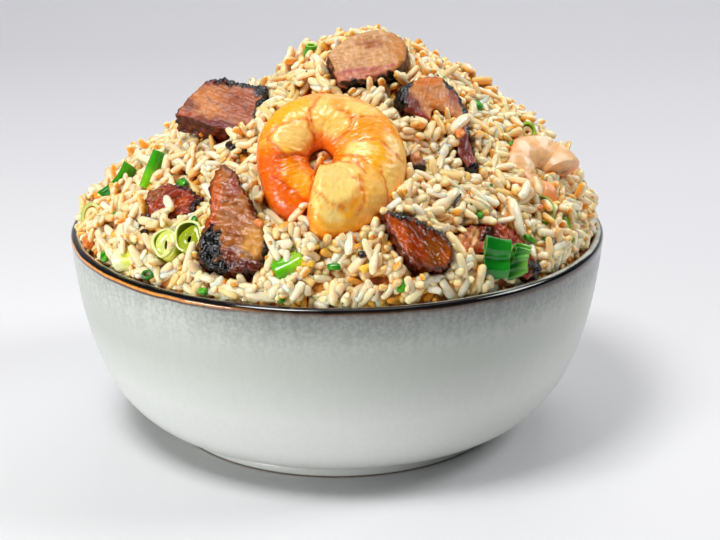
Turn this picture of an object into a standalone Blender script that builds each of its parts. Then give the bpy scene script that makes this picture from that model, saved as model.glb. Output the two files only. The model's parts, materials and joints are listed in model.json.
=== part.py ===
"""Fried rice heaped in a glazed stoneware bowl, with shrimp, roast pork and scallions on top.

Units are metres and +Z is up. The origin is the centre of the bowl's underside, and -Y is the front.
"""

import math

import bmesh
import bpy
from mathutils import Matrix, Vector, noise

MM = 0.001
GAP = 0.3 * MM                  # kept between pieces that touch

# Bowl
RIM_RADIUS = 76 * MM
BOWL_HEIGHT = 59 * MM
LIP_RADIUS = 1.4 * MM           # the rim is a half round of this radius
FOOT_RADIUS = 47.5 * MM
FOOT_WIDTH = 4.2 * MM
FOOT_HEIGHT = 3.3 * MM
FOOT_GROOVE = 0.5 * MM          # line between foot and wall
RECESS = 2.4 * MM               # height of the underside inside the foot
WALL_AT_FOOT = 4.2 * MM
WALL_SPREAD = 21 * MM           # how far the wall runs out before it turns up
WALL_START_RISE = 3.1 * MM
WALL_FLARE = 2.2 * MM           # how far the wall still leans out below the rim
WALL_FLARE_DROP = 25 * MM

# Rice
SEGMENTS = 48                   # round the bowl and round the rice
WALL_STEPS = 8
HEAP_RINGS = 10
HEAP_EDGE_RADIUS = 73.4 * MM
HEAP_EDGE_HEIGHT = 57.3 * MM
HEAP_RISE = 51.5 * MM
PEAK_X = 7 * MM                 # the peak lies right of the bowl's axis
SLOPE_POWER = 1.16              # below 2 gives straight flanks
SLOPE_POWER_RIGHT = 0.14        # the right flank bulges more than the left
SHOULDER_POWER = 0.62           # below 1 gives a steep edge at the rim
KNOB_RISE = 6 * MM
KNOB_RADIUS = 17.6 * MM
LUMP_DEPTH = 1.6 * MM
LUMP_SIZE = 15 * MM

# Toppings
PORK_EDGE = 0.9 * MM            # rounding of a slice's edges
CUT_MARGIN = 0.6 * MM           # how much larger a topping's bed is than the topping
SHRIMP_LENGTHEN = 1.05         # the curl is an oval
SHRIMP_FLATTEN = 0.82
SCALLION_SIDES = 12
SCALLION_WALL = 0.9 * MM
THIN_WALL = 0.6 * MM
HULL_BEDS = ("scallion", "shrimp_right")    # hollow or tightly curled, so their beds are convex

PALETTE = {                     # colour, roughness
    "glaze": ((0.60, 0.62, 0.57), 0.3),
    "rice": ((0.80, 0.66, 0.42), 0.5),
    "shrimp": ((0.92, 0.50, 0.20), 0.35),
    "pork": ((0.40, 0.18, 0.10), 0.45),
    "scallion": ((0.30, 0.52, 0.10), 0.4),
}


# Scene and mesh helpers

def clear_scene():
    for obj in list(bpy.data.objects):
        bpy.data.objects.remove(obj, do_unlink=True)


def new_collection(name):
    collection = bpy.data.collections.new(name)
    bpy.context.scene.collection.children.link(collection)
    return collection


def material(name):
    colour, roughness = PALETTE[name]
    made = bpy.data.materials.new(name)
    made.use_nodes = True
    shader = made.node_tree.nodes["Principled BSDF"]
    shader.inputs["Base Color"].default_value = (*colour, 1)
    shader.inputs["Roughness"].default_value = roughness
    shader.inputs["Metallic"].default_value = 0
    return made


def add_object(name, data, look):
    obj = bpy.data.objects.new(name, data)
    PARTS.objects.link(obj)
    if look:
        obj.data.materials.append(LOOKS[look])
    return obj


def mesh_object(name, form, look):
    """A node from a bmesh, which is used up."""
    bmesh.ops.recalc_face_normals(form, faces=form.faces)
    mesh = bpy.data.meshes.new(name)
    form.to_mesh(mesh)
    form.free()
    mesh.shade_smooth()
    mesh.set_sharp_from_angle(angle=math.radians(40))
    return add_object(name, mesh, look)


def curve_form(curve):
    """The bmesh of a filled or bevelled curve, with its caps welded on."""
    guide = bpy.data.objects.new("guide", curve)
    PARTS.objects.link(guide)
    evaluated = guide.evaluated_get(bpy.context.evaluated_depsgraph_get())
    mesh = bpy.data.meshes.new_from_object(evaluated)
    form = bmesh.new()
    form.from_mesh(mesh)
    bmesh.ops.remove_doubles(form, verts=form.verts, dist=1e-6)
    bpy.data.objects.remove(guide, do_unlink=True)
    bpy.data.meshes.remove(mesh)
    return form


def bezier(points, t):
    """The point at t, from 0 to 1, of a cubic curve in (radius, height)."""
    weights = ((1 - t) ** 3, 3 * t * (1 - t) ** 2, 3 * t * t * (1 - t), t ** 3)
    return sum((weight * Vector(point) for weight, point in zip(weights, points)), Vector((0, 0)))


def ease(low, high, value):
    """0 below low, 1 above high, and smooth between."""
    share = min(max((value - low) / (high - low), 0), 1)
    return share * share * (3 - 2 * share)


# Bowl

def wall_curve():
    """Control points of the outer wall, from the foot to the rim."""
    foot = (FOOT_RADIUS - FOOT_GROOVE, FOOT_HEIGHT)
    rim = (RIM_RADIUS, BOWL_HEIGHT - LIP_RADIUS)
    return (
        foot,
        (foot[0] + WALL_SPREAD, foot[1] + WALL_START_RISE),
        (rim[0] - WALL_FLARE, rim[1] - WALL_FLARE_DROP),
        rim,
    )


def wall_profile(inset):
    """(radius, height) of the wall from foot to rim, moved inwards by inset(t)."""
    control = wall_curve()
    profile = []
    for step in range(WALL_STEPS + 1):
        t = step / WALL_STEPS
        here = bezier(control, t)
        along = bezier(control, min(t + 0.01, 1)) - bezier(control, max(t - 0.01, 0))
        inwards = Vector((-along.y, along.x)).normalized()
        profile.append(here + inset(t) * inwards)
    return profile


def wall_thickness(t):
    """Thinner towards the rim, where it meets the half round of the lip."""
    return WALL_AT_FOOT + (2 * LIP_RADIUS - WALL_AT_FOOT) * t


def bowl_profile():
    """The section from the middle of the floor, over the rim, down to the middle of the underside."""
    inner = wall_profile(wall_thickness)
    outer = wall_profile(lambda t: 0)
    lip_centre = Vector((RIM_RADIUS - LIP_RADIUS, BOWL_HEIGHT - LIP_RADIUS))
    lip = []
    for angle in (135, 90, 45):
        turn = math.radians(angle)
        lip.append(lip_centre + LIP_RADIUS * Vector((math.cos(turn), math.sin(turn))))
    foot_inside = FOOT_RADIUS - FOOT_WIDTH
    foot = [
        (FOOT_RADIUS, FOOT_HEIGHT - FOOT_GROOVE),
        (FOOT_RADIUS, FOOT_GROOVE),
        (FOOT_RADIUS - FOOT_GROOVE, 0),
        (foot_inside + FOOT_GROOVE, 0),
        (foot_inside, FOOT_GROOVE),
        (foot_inside - FOOT_GROOVE, RECESS),
        (0, RECESS),
    ]
    floor = (0, inner[0].y)
    return [floor, *inner, *lip, *reversed(outer), *foot]


def build_bowl():
    mesh = bpy.data.meshes.new("bowl")
    points = [(radius, 0, height) for radius, height in bowl_profile()]
    edges = [(index, index + 1) for index in range(len(points) - 1)]
    mesh.from_pydata(points, edges, [])
    bowl = add_object("bowl", mesh, "glaze")
    turned = bowl.modifiers.new("turned", "SCREW")
    turned.steps = SEGMENTS
    turned.render_steps = SEGMENTS
    turned.use_merge_vertices = True
    turned.merge_threshold = 0.00005
    turned.use_smooth_shade = True


# Rice

def heap_spread(x, y):
    """(share of the way from the peak to the edge, direction) of a place on the heap."""
    share = 0
    for _ in range(30):
        shift = PEAK_X * (1 - share * share)
        share = min(math.hypot(x - shift, y) / HEAP_EDGE_RADIUS, 1)
    return share, math.atan2(y, x - PEAK_X * (1 - share * share))


def heap_height(x, y):
    """The smooth height of the heap at a place, without its lumps."""
    share, direction = heap_spread(x, y)
    slope_power = SLOPE_POWER + SLOPE_POWER_RIGHT * math.cos(direction)
    cone = HEAP_RISE * (1 - share ** slope_power) ** SHOULDER_POWER
    from_peak = math.hypot(x - PEAK_X, y)
    knob = KNOB_RISE * math.exp(-0.5 * (from_peak / KNOB_RADIUS) ** 2) * (1 - share)
    return HEAP_EDGE_HEIGHT + cone + knob


def heap_point(share, direction):
    shift = PEAK_X * (1 - share * share)
    x = shift + share * HEAP_EDGE_RADIUS * math.cos(direction)
    y = share * HEAP_EDGE_RADIUS * math.sin(direction)
    point = Vector((x, y, heap_height(x, y)))
    fade = min(1, 6 * (1 - share))
    outwards = Vector((math.cos(direction) * share, math.sin(direction) * share, 1)).normalized()
    return point + fade * LUMP_DEPTH * noise.noise(point / LUMP_SIZE) * outwards


def build_rice():
    """A sphere's rings, laid along the bowl's inside and then over the heap."""
    inside = wall_profile(lambda t: wall_thickness(t) + GAP)
    inside = inside[:-1] + [Vector((RIM_RADIUS - 2 * LIP_RADIUS - GAP, HEAP_EDGE_HEIGHT - 1 * MM))]
    rings = len(inside) + HEAP_RINGS
    form = bmesh.new()
    bmesh.ops.create_uvsphere(form, u_segments=SEGMENTS, v_segments=rings + 1, radius=1)
    for vert in form.verts:
        ring = round((math.pi - math.acos(max(-1, min(1, vert.co.z)))) / math.pi * (rings + 1))
        direction = math.atan2(vert.co.y, vert.co.x)
        if ring == 0:
            vert.co = (0, 0, inside[0].y)
        elif ring <= len(inside):
            radius, height = inside[ring - 1]
            vert.co = (radius * math.cos(direction), radius * math.sin(direction), height)
        else:
            climb = (ring - len(inside)) / (HEAP_RINGS + 1)
            vert.co = heap_point(max(0, 1 - climb ** 1.25), direction)
    return mesh_object("rice", form, "rice")


# Placing on the heap

def place(obj, spot, facing, turn=0.0, lift=0.0, up=0.0):
    """Put a topping at a spot (x, y) of the heap.

    facing is the azimuth and elevation, in degrees, that its local +Z looks to. Its local +X is then level,
    before turn rolls it about +Z. lift moves its origin out of the heap's surface along +Z, and up raises it.
    """
    x, y = spot[0] * MM, spot[1] * MM
    azimuth, elevation = map(math.radians, facing)
    out = Vector((
        math.cos(azimuth) * math.cos(elevation),
        math.sin(azimuth) * math.cos(elevation),
        math.sin(elevation),
    ))
    level = Vector((0, 0, 1)).cross(out).normalized()
    upwards = out.cross(level)
    basis = Matrix((level, upwards, out)).transposed() @ Matrix.Rotation(math.radians(turn), 3, "Z")
    origin = Vector((x, y, heap_height(x, y) + up * MM)) + lift * MM * out
    obj.matrix_world = Matrix.Translation(origin) @ basis.to_4x4()


# Shrimp

def build_shrimp(name, size, start, sweep, sides, widen=0.0, squat=0.0, **where):
    """A peeled shrimp curled round a small hole, from its thick cut end to its thin tail.

    size scales it. From start, in degrees about the hole, it curls by sweep. sides is the count of its curve's
    bevel steps. It reaches further on its thick side by widen, and less at its top by squat.
    """
    hole, thick, thin = 2.9 * size, 9.6 * size, 5.8 * size
    steps = round(sweep / 12)
    curve = bpy.data.curves.new(name, "CURVE")
    curve.dimensions = "3D"
    curve.bevel_depth = MM
    curve.bevel_resolution = sides
    curve.use_fill_caps = True
    body = curve.splines.new("POLY")
    body.points.add(steps)
    for index, point in enumerate(body.points):
        way = index / steps
        angle = math.radians(start + sweep * way)
        segments = 0.35 * size * abs(math.sin(math.pi * 6 * way))
        shoulder = 0.16 * math.exp(-(way / 0.03) ** 2)
        girth = (thick + (thin - thick) * way ** 0.8 + segments) * (1 - shoulder)
        reach = hole + girth
        rise = size * (4.2 * math.exp(-(way / 0.16) ** 2) - 2.2 * way ** 2)
        point.co = (reach * math.cos(angle) * MM, reach * math.sin(angle) * MM, rise * MM, 1)
        point.radius = girth
    form = curve_form(curve)
    bpy.data.curves.remove(curve)
    for vert in form.verts:
        x, y = vert.co.xy / (MM * size)
        vert.co.x *= 1 + widen * ease(-5, 15, x)
        vert.co.y *= SHRIMP_LENGTHEN - squat * ease(-6, 12, y)
        vert.co.z *= SHRIMP_FLATTEN
    place(mesh_object(name, form, "shrimp"), **where)


# Roast pork

def build_pork(name, outline, thickness, bulge, **where):
    """A slice with an uneven outline, (x, y) in mm, which bulges in the middle by bulge mm."""
    curve = bpy.data.curves.new(name, "CURVE")
    curve.dimensions = "2D"
    curve.fill_mode = "BOTH"
    curve.extrude = thickness / 2 * MM
    edge = curve.splines.new("POLY")
    edge.use_cyclic_u = True
    edge.points.add(len(outline) - 1)
    for point, (x, y) in zip(edge.points, outline):
        point.co = (x * MM, y * MM, 0, 1)
    form = curve_form(curve)
    bpy.data.curves.remove(curve)
    span = max(math.hypot(x, y) for x, y in outline) * MM
    for vert in form.verts:
        middle = 1 - (vert.co.xy.length / span) ** 2
        vert.co.z += bulge * MM * middle
        if vert.co.z > 0:
            vert.co.xy *= 0.95
    slice_ = mesh_object(name, form, "pork")
    edges = slice_.modifiers.new("edges", "BEVEL")
    edges.width = PORK_EDGE
    edges.segments = 1
    edges.limit_method = "ANGLE"
    place(slice_, **where)


# Scallions

def tube_form(half_width, half_depth, height, bend=0.0, wall=SCALLION_WALL):
    """A hollow oval length of leaf or stem along local Z, in mm, bent by bend mm at its middle."""
    form = bmesh.new()
    bmesh.ops.create_cone(
        form, cap_ends=False, segments=SCALLION_SIDES, radius1=1, radius2=1, depth=1,
    )
    if bend:
        lengthwise = [edge for edge in form.edges if edge.verts[0].co.z * edge.verts[1].co.z < 0]
        bmesh.ops.subdivide_edges(form, edges=lengthwise, cuts=2)
    for vert in form.verts:
        along = 2 * vert.co.z
        taper = 1 - 0.06 * along
        vert.co.x = (vert.co.x * half_width * taper + bend * (along * along - 0.5)) * MM
        vert.co.y *= half_depth * taper * MM
        vert.co.z *= height * MM
    bmesh.ops.solidify(form, geom=form.faces[:], thickness=wall)
    return form


def build_scallion(name, half_width, half_depth, height, bend=0.0, wall=SCALLION_WALL, **where):
    form = tube_form(half_width, half_depth, height, bend, wall)
    place(mesh_object(name, form, "scallion"), **where)


def build_scallion_pair(name, **where):
    """A cut through a forked stem: two rings grown together."""
    left = mesh_object(name, tube_form(3.0, 3.6, 4.2), "scallion")
    right = mesh_object(name + "_ring", tube_form(3.7, 3.9, 4.6), "scallion")
    right.hide_render = True
    right.display_type = "WIRE"
    PARTS.objects.unlink(right)
    CUTTERS.objects.link(right)
    join = left.modifiers.new("fork", "BOOLEAN")
    join.operation = "UNION"
    join.solver = "EXACT"
    join.object = right
    place(left, **where)
    right.matrix_world = left.matrix_world @ Matrix.Translation((5.6 * MM, 0.5 * MM, 0))


# The bed of each topping in the rice

def convex_mesh(points):
    """The convex hull of some points."""
    form = bmesh.new()
    verts = [form.verts.new(point) for point in points]
    bmesh.ops.convex_hull(form, input=verts, use_existing_faces=False)
    inner = [vert for vert in form.verts if not vert.link_faces]
    bmesh.ops.delete(form, geom=inner, context="VERTS")
    bmesh.ops.recalc_face_normals(form, faces=form.faces)
    mesh = bpy.data.meshes.new("hull")
    form.to_mesh(mesh)
    form.free()
    return mesh


def add_bed(topping):
    """A cutter a little larger than the topping. A hollow topping's bed has no hollow."""
    evaluated = topping.evaluated_get(bpy.context.evaluated_depsgraph_get())
    mesh = bpy.data.meshes.new_from_object(evaluated)
    if topping.name.startswith(HULL_BEDS):
        mesh = convex_mesh([vert.co for vert in mesh.vertices])
    bed = bpy.data.objects.new(topping.name + "_bed", mesh)
    bed.matrix_world = topping.matrix_world
    CUTTERS.objects.link(bed)
    bed.hide_render = True
    bed.display_type = "WIRE"
    grow = bed.modifiers.new("grow", "DISPLACE")
    grow.mid_level = 0
    grow.strength = CUT_MARGIN
    return bed


def press_toppings_in(rice):
    bpy.context.view_layer.update()
    for part in list(PARTS.objects):
        if part.name in ("bowl", "rice"):
            continue
        cut = rice.modifiers.new(part.name, "BOOLEAN")
        cut.operation = "DIFFERENCE"
        cut.solver = "MANIFOLD"     # EXACT leaves nothing where a bed's tight curl meets itself
        cut.object = add_bed(part)


clear_scene()
PARTS = new_collection("fried_rice")
CUTTERS = new_collection("cutters")
LOOKS = {name: material(name) for name in PALETTE}

build_bowl()
rice = build_rice()

build_shrimp(
    "shrimp_front", 1.06, -102, 334, 3, widen=0.07, squat=0.09,
    spot=(-4.2, -43.2), facing=(-92, 38), turn=4, lift=2.6,
)
build_shrimp("shrimp_right", 0.62, -94, 300, 2, spot=(54.8, -25), facing=(-40, 42), turn=75, lift=0.3)

build_pork(
    "pork_top",
    [(-11, 1), (-4, 7), (3, 9.4), (9, 8), (12.5, 4.5), (12.5, -1), (9.5, -5), (2, -8.5), (-7.5, -9.5), (-9, -4)],
    thickness=6.5, bulge=0.8, spot=(7.5, -13), facing=(-90, 48), lift=1,
)
build_pork(
    "pork_left",
    [(-12.6, -5.6), (-10, 0.3), (-6, 7), (-0.5, 8.7), (5, 7.4), (12.7, 7.2), (12, 0.3), (11, -6.6), (4.5, -9.4),
     (-2, -8.5), (-8, -6.3)],
    thickness=8, bulge=0.6, spot=(-31.3, -10.4), facing=(-100, 50), turn=-3, lift=2.2, up=2.4,
)
build_pork(
    "pork_right",
    [(-12, 2.5), (-10, 7.5), (-5.5, 9.5), (-1, 10.5), (4, 9.5), (6.5, 5), (8.5, -2), (10, -9), (10.5, -16.5),
     (7, -17), (5, -11), (5.5, -4.5), (1.5, -2), (-2, 0), (-2.5, -5.5), (-7, -3)],
    thickness=4.5, bulge=0.4, spot=(26.6, -25.2), facing=(-74, 46), lift=2,
)
build_pork(
    "pork_front_left",
    [(-6, 16), (-1.5, 13), (0, 9.5), (3, 6), (4.5, 2.5), (8, -2), (9.8, -7.5), (9, -13.5), (3, -15.5),
     (-4, -14.5), (-9.2, -12), (-8.8, -6), (-7, 1), (-8.5, 9)],
    thickness=7.5, bulge=0.6, spot=(-25.6, -54.5), facing=(-102, 36), lift=1.5,
)
build_pork(
    "pork_side",
    [(-9.5, 1), (-6, 4.5), (0, 6.2), (5, 5.5), (8.5, 2.5), (8, -2.5), (2, -3.5), (-3, -5), (-7.5, -8), (-9, -6),
     (-5.5, -2.5)],
    thickness=4.5, bulge=0.5, spot=(-43.5, -40), facing=(-120, 42), lift=0.6,
)
build_pork(
    "pork_glazed",
    [(-10, 9), (-4.5, 8.5), (1, 5.5), (6.5, 2), (8.5, -2), (7, -7), (2.5, -8), (-3.5, -6.5), (-6, -2), (-8, 4)],
    thickness=7, bulge=0.8, spot=(21, -62.6), facing=(-80, 34), lift=1,
)
build_pork(
    "pork_shred",
    [(-12.8, 2.3), (-10.5, 5.3), (-7.3, 6.7), (-2.6, 6.7), (1.2, 8.3), (3.2, 6.8), (6, 5), (8.1, 2.7), (10.4, -1.3),
     (12.4, -5.6), (12.8, -8), (8.4, -9.2), (4, -5.6), (-4.6, -1.2), (-11.2, -1.8)],
    thickness=5, bulge=0.5, spot=(41.4, -54.9), facing=(-62, 34), turn=-5, lift=-2.2,
)
build_pork(
    "pork_bit",
    [(-2, 3.3), (1.6, 3), (2.4, 0), (1.6, -3.2), (-1.8, -3), (-2.4, 0)],
    thickness=4, bulge=0.3, spot=(20.8, -43), facing=(-75, 50), lift=0.4,
)

build_scallion_pair("scallion_pair", spot=(-44.5, -51), facing=(-112, 34), turn=10, lift=1.8)
build_scallion("scallion_stem", 3, 2.8, 6.2, spot=(-57, -43.5), facing=(-125, 80), lift=1.2)
build_scallion("scallion_leaf", 2.4, 1.3, 12, 1.2, spot=(-62, -6), facing=(28, 46), turn=70, lift=-0.5)
build_scallion("scallion_fold", 3.6, 2.1, 11, spot=(-51, -20), facing=(40, 62), turn=-70, lift=1.2)
build_scallion("scallion_far_ring", 3, 3.7, 2.6, spot=(-68.5, -13), facing=(-105, 32), lift=1)
build_scallion("scallion_front", 2.7, 2.2, 8, spot=(-12.5, -67), facing=(10, 24), turn=20)
build_scallion("scallion_dark", 5.6, 1.8, 6.8, 0.4, spot=(41.2, -60), facing=(5, -6), turn=86, up=7.0)
build_scallion("scallion_dark_small", 3.6, 1.6, 4.4, spot=(47.4, -57.6), facing=(12, -6), turn=80, up=9.0)
build_scallion("scallion_right_ring", 3.7, 3, 5, spot=(50.5, -11), facing=(-42, 20), lift=1)
build_scallion("scallion_top", 1.8, 1.1, 6.2, 0, THIN_WALL, spot=(-7.5, 3), facing=(-80, 66), lift=2)
build_scallion("scallion_stick", 1.9, 1.2, 7.2, 0, THIN_WALL, spot=(62, -33.5), facing=(118, 58), lift=0.4)
build_scallion("scallion_thin_ring", 4.2, 4, 2.4, 0, THIN_WALL, spot=(54, -37.5), facing=(-78, 38), lift=1)

press_toppings_in(rice)
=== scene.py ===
"""Looks of the heaped bowl of fried rice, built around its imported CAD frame.

Lengths are in millimetres here until a mesh is made, +Z is up and -Y is the front.
"""

import json
import math

import bmesh
import bpy
import numpy as np
from mathutils import Matrix, Vector
from mathutils.bvhtree import BVHTree

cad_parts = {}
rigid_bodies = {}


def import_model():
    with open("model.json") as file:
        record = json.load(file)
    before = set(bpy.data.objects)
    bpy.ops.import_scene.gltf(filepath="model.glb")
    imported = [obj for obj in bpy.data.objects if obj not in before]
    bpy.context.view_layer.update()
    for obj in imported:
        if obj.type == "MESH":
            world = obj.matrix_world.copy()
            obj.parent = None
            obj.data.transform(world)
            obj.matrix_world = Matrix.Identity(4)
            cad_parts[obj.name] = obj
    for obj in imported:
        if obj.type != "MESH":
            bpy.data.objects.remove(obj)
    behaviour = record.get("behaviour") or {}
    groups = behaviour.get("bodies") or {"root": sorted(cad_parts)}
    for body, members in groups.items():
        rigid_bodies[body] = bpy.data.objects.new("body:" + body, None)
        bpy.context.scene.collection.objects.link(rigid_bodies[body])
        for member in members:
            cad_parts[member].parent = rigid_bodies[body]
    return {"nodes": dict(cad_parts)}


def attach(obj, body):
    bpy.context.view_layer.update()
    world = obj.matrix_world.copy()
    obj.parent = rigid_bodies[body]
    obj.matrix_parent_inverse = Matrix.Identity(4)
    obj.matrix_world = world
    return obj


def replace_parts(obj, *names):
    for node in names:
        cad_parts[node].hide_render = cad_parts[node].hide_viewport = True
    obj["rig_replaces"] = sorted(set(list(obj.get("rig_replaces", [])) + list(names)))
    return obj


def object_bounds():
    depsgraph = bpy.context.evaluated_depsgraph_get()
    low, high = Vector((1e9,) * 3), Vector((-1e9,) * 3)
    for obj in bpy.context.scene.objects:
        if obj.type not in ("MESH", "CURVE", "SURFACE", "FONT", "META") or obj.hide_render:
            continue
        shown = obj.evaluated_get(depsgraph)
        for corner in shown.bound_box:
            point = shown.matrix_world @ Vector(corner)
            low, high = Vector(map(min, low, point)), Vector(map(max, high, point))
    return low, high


MM = 0.001
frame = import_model()
cad_box = [list(corner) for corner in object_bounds()]
random = np.random.default_rng(7)


# Numbers and noise

def smooth(low, high, value):
    """0 below low, 1 above high, and smooth between."""
    share = np.clip((value - low) / (high - low), 0, 1)
    return share * share * (3 - 2 * share)


def mix(first, second, share):
    return first + (second - first) * np.asarray(share)[..., None]


def linear(red, green, blue):
    """Linear colour from the 0 to 255 values that a screen shows."""
    value = np.array([red, green, blue]) / 255
    return np.where(value <= 0.04045, value / 12.92, ((value + 0.055) / 1.055) ** 2.4)


def ripple(points, size, seed, waves=14):
    """A smooth random field of about -1 to 1 with hills about size wide. size may be one per axis."""
    source = np.random.default_rng(seed)
    scaled = np.asarray(points) / np.asarray(size, float)
    total = np.zeros(len(scaled))
    for _ in range(waves):
        way = source.normal(size=scaled.shape[1])
        way *= source.uniform(2.2, 5.2) / np.linalg.norm(way)
        total += np.sin(scaled @ way + source.uniform(0, 2 * math.pi))
    return total / math.sqrt(waves / 2) / 1.6


def tiled(colour, points):
    """The colour, once for each point."""
    return np.tile(colour, (len(points), 1))


def unit(vectors):
    return vectors / np.maximum(np.linalg.norm(vectors, axis=-1, keepdims=True), 1e-9)


# Meshes

def link(name, data):
    """A new object in the scene."""
    obj = bpy.data.objects.new(name, data)
    bpy.context.scene.collection.objects.link(obj)
    return obj


def store(mesh, name, values):
    """Keeps one value, or one colour, for each point of the mesh."""
    coloured = np.ndim(values) > 1
    layer = mesh.attributes.new(name, "FLOAT_COLOR" if coloured else "FLOAT", "POINT")
    if coloured:
        rgba = np.ones((*np.shape(values)[:-1], 4), np.float32)
        rgba[..., :3] = np.clip(values, 0, 1)
        layer.data.foreach_set("color", rgba.ravel())
    else:
        layer.data.foreach_set("value", np.asarray(values, np.float32))


def make_object(name, points, faces, look, colours=None, wet=None):
    """A mesh piece from points in mm. colours and wet are one per point."""
    mesh = bpy.data.meshes.new(name)
    corners = faces if isinstance(faces, list) else faces.tolist()
    mesh.from_pydata((np.asarray(points) * MM).tolist(), [], corners)
    if colours is not None:
        store(mesh, "Col", colours)
    if wet is not None:
        store(mesh, "Wet", wet)
    form = bmesh.new()
    form.from_mesh(mesh)
    bmesh.ops.recalc_face_normals(form, faces=form.faces)
    form.to_mesh(mesh)
    form.free()
    mesh.shade_smooth()
    mesh.materials.append(look)
    obj = link(name, mesh)
    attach(obj, "root")
    return obj


def grid_faces(rows, columns, looped=False):
    """Quads over rows x columns points, whose columns meet again, and whose rows do too if looped."""
    row = np.arange(rows if looped else rows - 1)[:, None]
    following_row = (row + 1) % rows * columns
    row = row * columns
    column = np.arange(columns)[None]
    following = (column + 1) % columns
    faces = np.stack([row + column, row + following, following_row + following, following_row + column], -1)
    return faces.reshape(-1, 4)


# Materials

def add(tree, kind, inputs=None, **settings):
    """A shader node. Each input is a value or another node's output."""
    made = tree.nodes.new("ShaderNode" + kind)
    for key, value in settings.items():
        setattr(made, key, value)
    for key, value in (inputs or {}).items():
        if isinstance(value, bpy.types.NodeSocket):
            tree.links.new(value, made.inputs[key])
        else:
            made.inputs[key].default_value = value
    return made


def new_material(name, **values):
    made = bpy.data.materials.new(name)
    made.use_nodes = True
    shader = made.node_tree.nodes["Principled BSDF"]
    for socket, value in values.items():
        shader.inputs[socket.replace("_", " ")].default_value = value
    return made, made.node_tree, shader


def mix_colours(tree, share, first, second):
    """The output of a colour mix of two colours or sockets."""
    made = tree.nodes.new("ShaderNodeMix")
    made.data_type = "RGBA"
    for socket, value in zip((made.inputs[0], made.inputs[6], made.inputs[7]), (share, first, second)):
        if isinstance(value, bpy.types.NodeSocket):
            tree.links.new(value, socket)
        elif np.ndim(value):
            socket.default_value = (*value, 1)
        else:
            socket.default_value = value
    return made.outputs[2]


def ramp(tree, value, stops):
    """A colour ramp over (place, colour) stops."""
    made = add(tree, "ValToRGB", {"Fac": value})
    band = made.color_ramp
    while len(band.elements) < len(stops):
        band.elements.new(0.5)
    for element, (place, colour) in zip(band.elements, stops):
        element.position = place
        element.color = (*colour, 1)
    return made.outputs["Color"]


def span(tree, value, low, high, to_low=0.0, to_high=1.0):
    """value's way from low to high, laid out from to_low to to_high and held at both ends."""
    made = add(tree, "MapRange", {"Value": value, "From Min": low, "From Max": high,
                                  "To Min": to_low, "To Max": to_high})
    return made.outputs["Result"]


def calc(tree, operation, first, second):
    return add(tree, "Math", {0: first, 1: second}, operation=operation).outputs["Value"]


def noise(tree, coords, scale, detail, roughness=0.5):
    inputs = {"Vector": coords, "Scale": scale, "Detail": detail, "Roughness": roughness}
    return add(tree, "TexNoise", inputs).outputs["Fac"]


def stored(tree, name, output="Fac"):
    """What the mesh stores under that name."""
    return add(tree, "Attribute", attribute_name=name).outputs[output]


def times(tree, colour, factor):
    return add(tree, "VectorMath", {0: colour, "Scale": factor}, operation="SCALE").outputs["Vector"]


def finish_shader(tree, shader, colour, roughness, height, strength, distance):
    """Joins a colour, a roughness and a bump to the shader."""
    raised = add(tree, "Bump", {"Height": height, "Strength": strength, "Distance": distance})
    tree.links.new(colour, shader.inputs["Base Color"])
    tree.links.new(roughness, shader.inputs["Roughness"])
    tree.links.new(raised.outputs["Normal"], shader.inputs["Normal"])


def food_material(name, speck, tint, bump, bump_size, dry, moist, subsurface=0.0, glow=(1, 0.4, 0.15)):
    """Stored colours that vary by tint over specks, roughness from dry to moist by Wet, and a fine bump."""
    made, tree, shader = new_material(name, Subsurface_Weight=subsurface, Subsurface_Radius=glow,
                                      Subsurface_Scale=1.5 * MM, Specular_IOR_Level=0.5)
    coords = add(tree, "TexCoord").outputs["Object"]
    shade = span(tree, noise(tree, coords, 1000 / speck, 4.0, 0.6), 0.3, 0.7, 1 - tint, 1 + tint)
    colour = times(tree, stored(tree, "Col", "Color"), shade)
    rough = span(tree, stored(tree, "Wet"), 0, 1, dry, moist)
    finish_shader(tree, shader, colour, rough, noise(tree, coords, 1000 / bump_size, 3.0), bump, 0.3 * MM)
    return made


# The heap and where things lie on it

EDGE_RADIUS, EDGE_HEIGHT, HEAP_RISE, PEAK_X = 73.4, 57.3, 51.5, 7.0
KNOB_RISE, KNOB_WIDTH = 6, 17.6     # on the heap's peak
STEEPEST = 2.2                      # slope beyond which the surface's normal tilts no further


def heap_spread(x, y):
    """(share of the way from the peak to the edge, direction) of places on the heap."""
    share = np.zeros_like(x)
    for _ in range(30):
        share = np.minimum(np.hypot(x - PEAK_X * (1 - share ** 2), y) / EDGE_RADIUS, 1)
    return share, np.arctan2(y, x - PEAK_X * (1 - share ** 2))


def heap_height(x, y):
    """Height of the heap's surface, a cone that bulges more on its left, with a knob on its peak."""
    share, direction = heap_spread(x, y)
    cone = HEAP_RISE * (1 - share ** (1.16 + 0.14 * np.cos(direction))) ** 0.62
    knob = KNOB_RISE * np.exp(-0.5 * (np.hypot(x - PEAK_X, y) / KNOB_WIDTH) ** 2) * (1 - share)
    return EDGE_HEIGHT + cone + knob


def heap_normal(x, y, step=1.5):
    rise_x = (heap_height(x + step, y) - heap_height(x - step, y)) / (2 * step)
    rise_y = (heap_height(x, y + step) - heap_height(x, y - step)) / (2 * step)
    steep = np.maximum(np.hypot(rise_x, rise_y), 1e-6)
    limit = np.minimum(steep, STEEPEST) / steep
    return unit(np.stack([-rise_x * limit, -rise_y * limit, np.ones_like(x)], -1))


def heap_frame(x, y):
    """(point, right, above, outward) of places on the heap's surface."""
    out = heap_normal(x, y)
    right = unit(np.cross([0, 0, 1.0], out))
    return np.stack([x, y, heap_height(x, y)], -1), right, np.cross(out, right), out


def heap_offset(points):
    """(how far outside the heap's surface points lie, outward directions there)."""
    out = heap_normal(points[:, 0], points[:, 1])
    return (points[:, 2] - heap_height(points[:, 0], points[:, 1])) * out[:, 2], out


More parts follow.
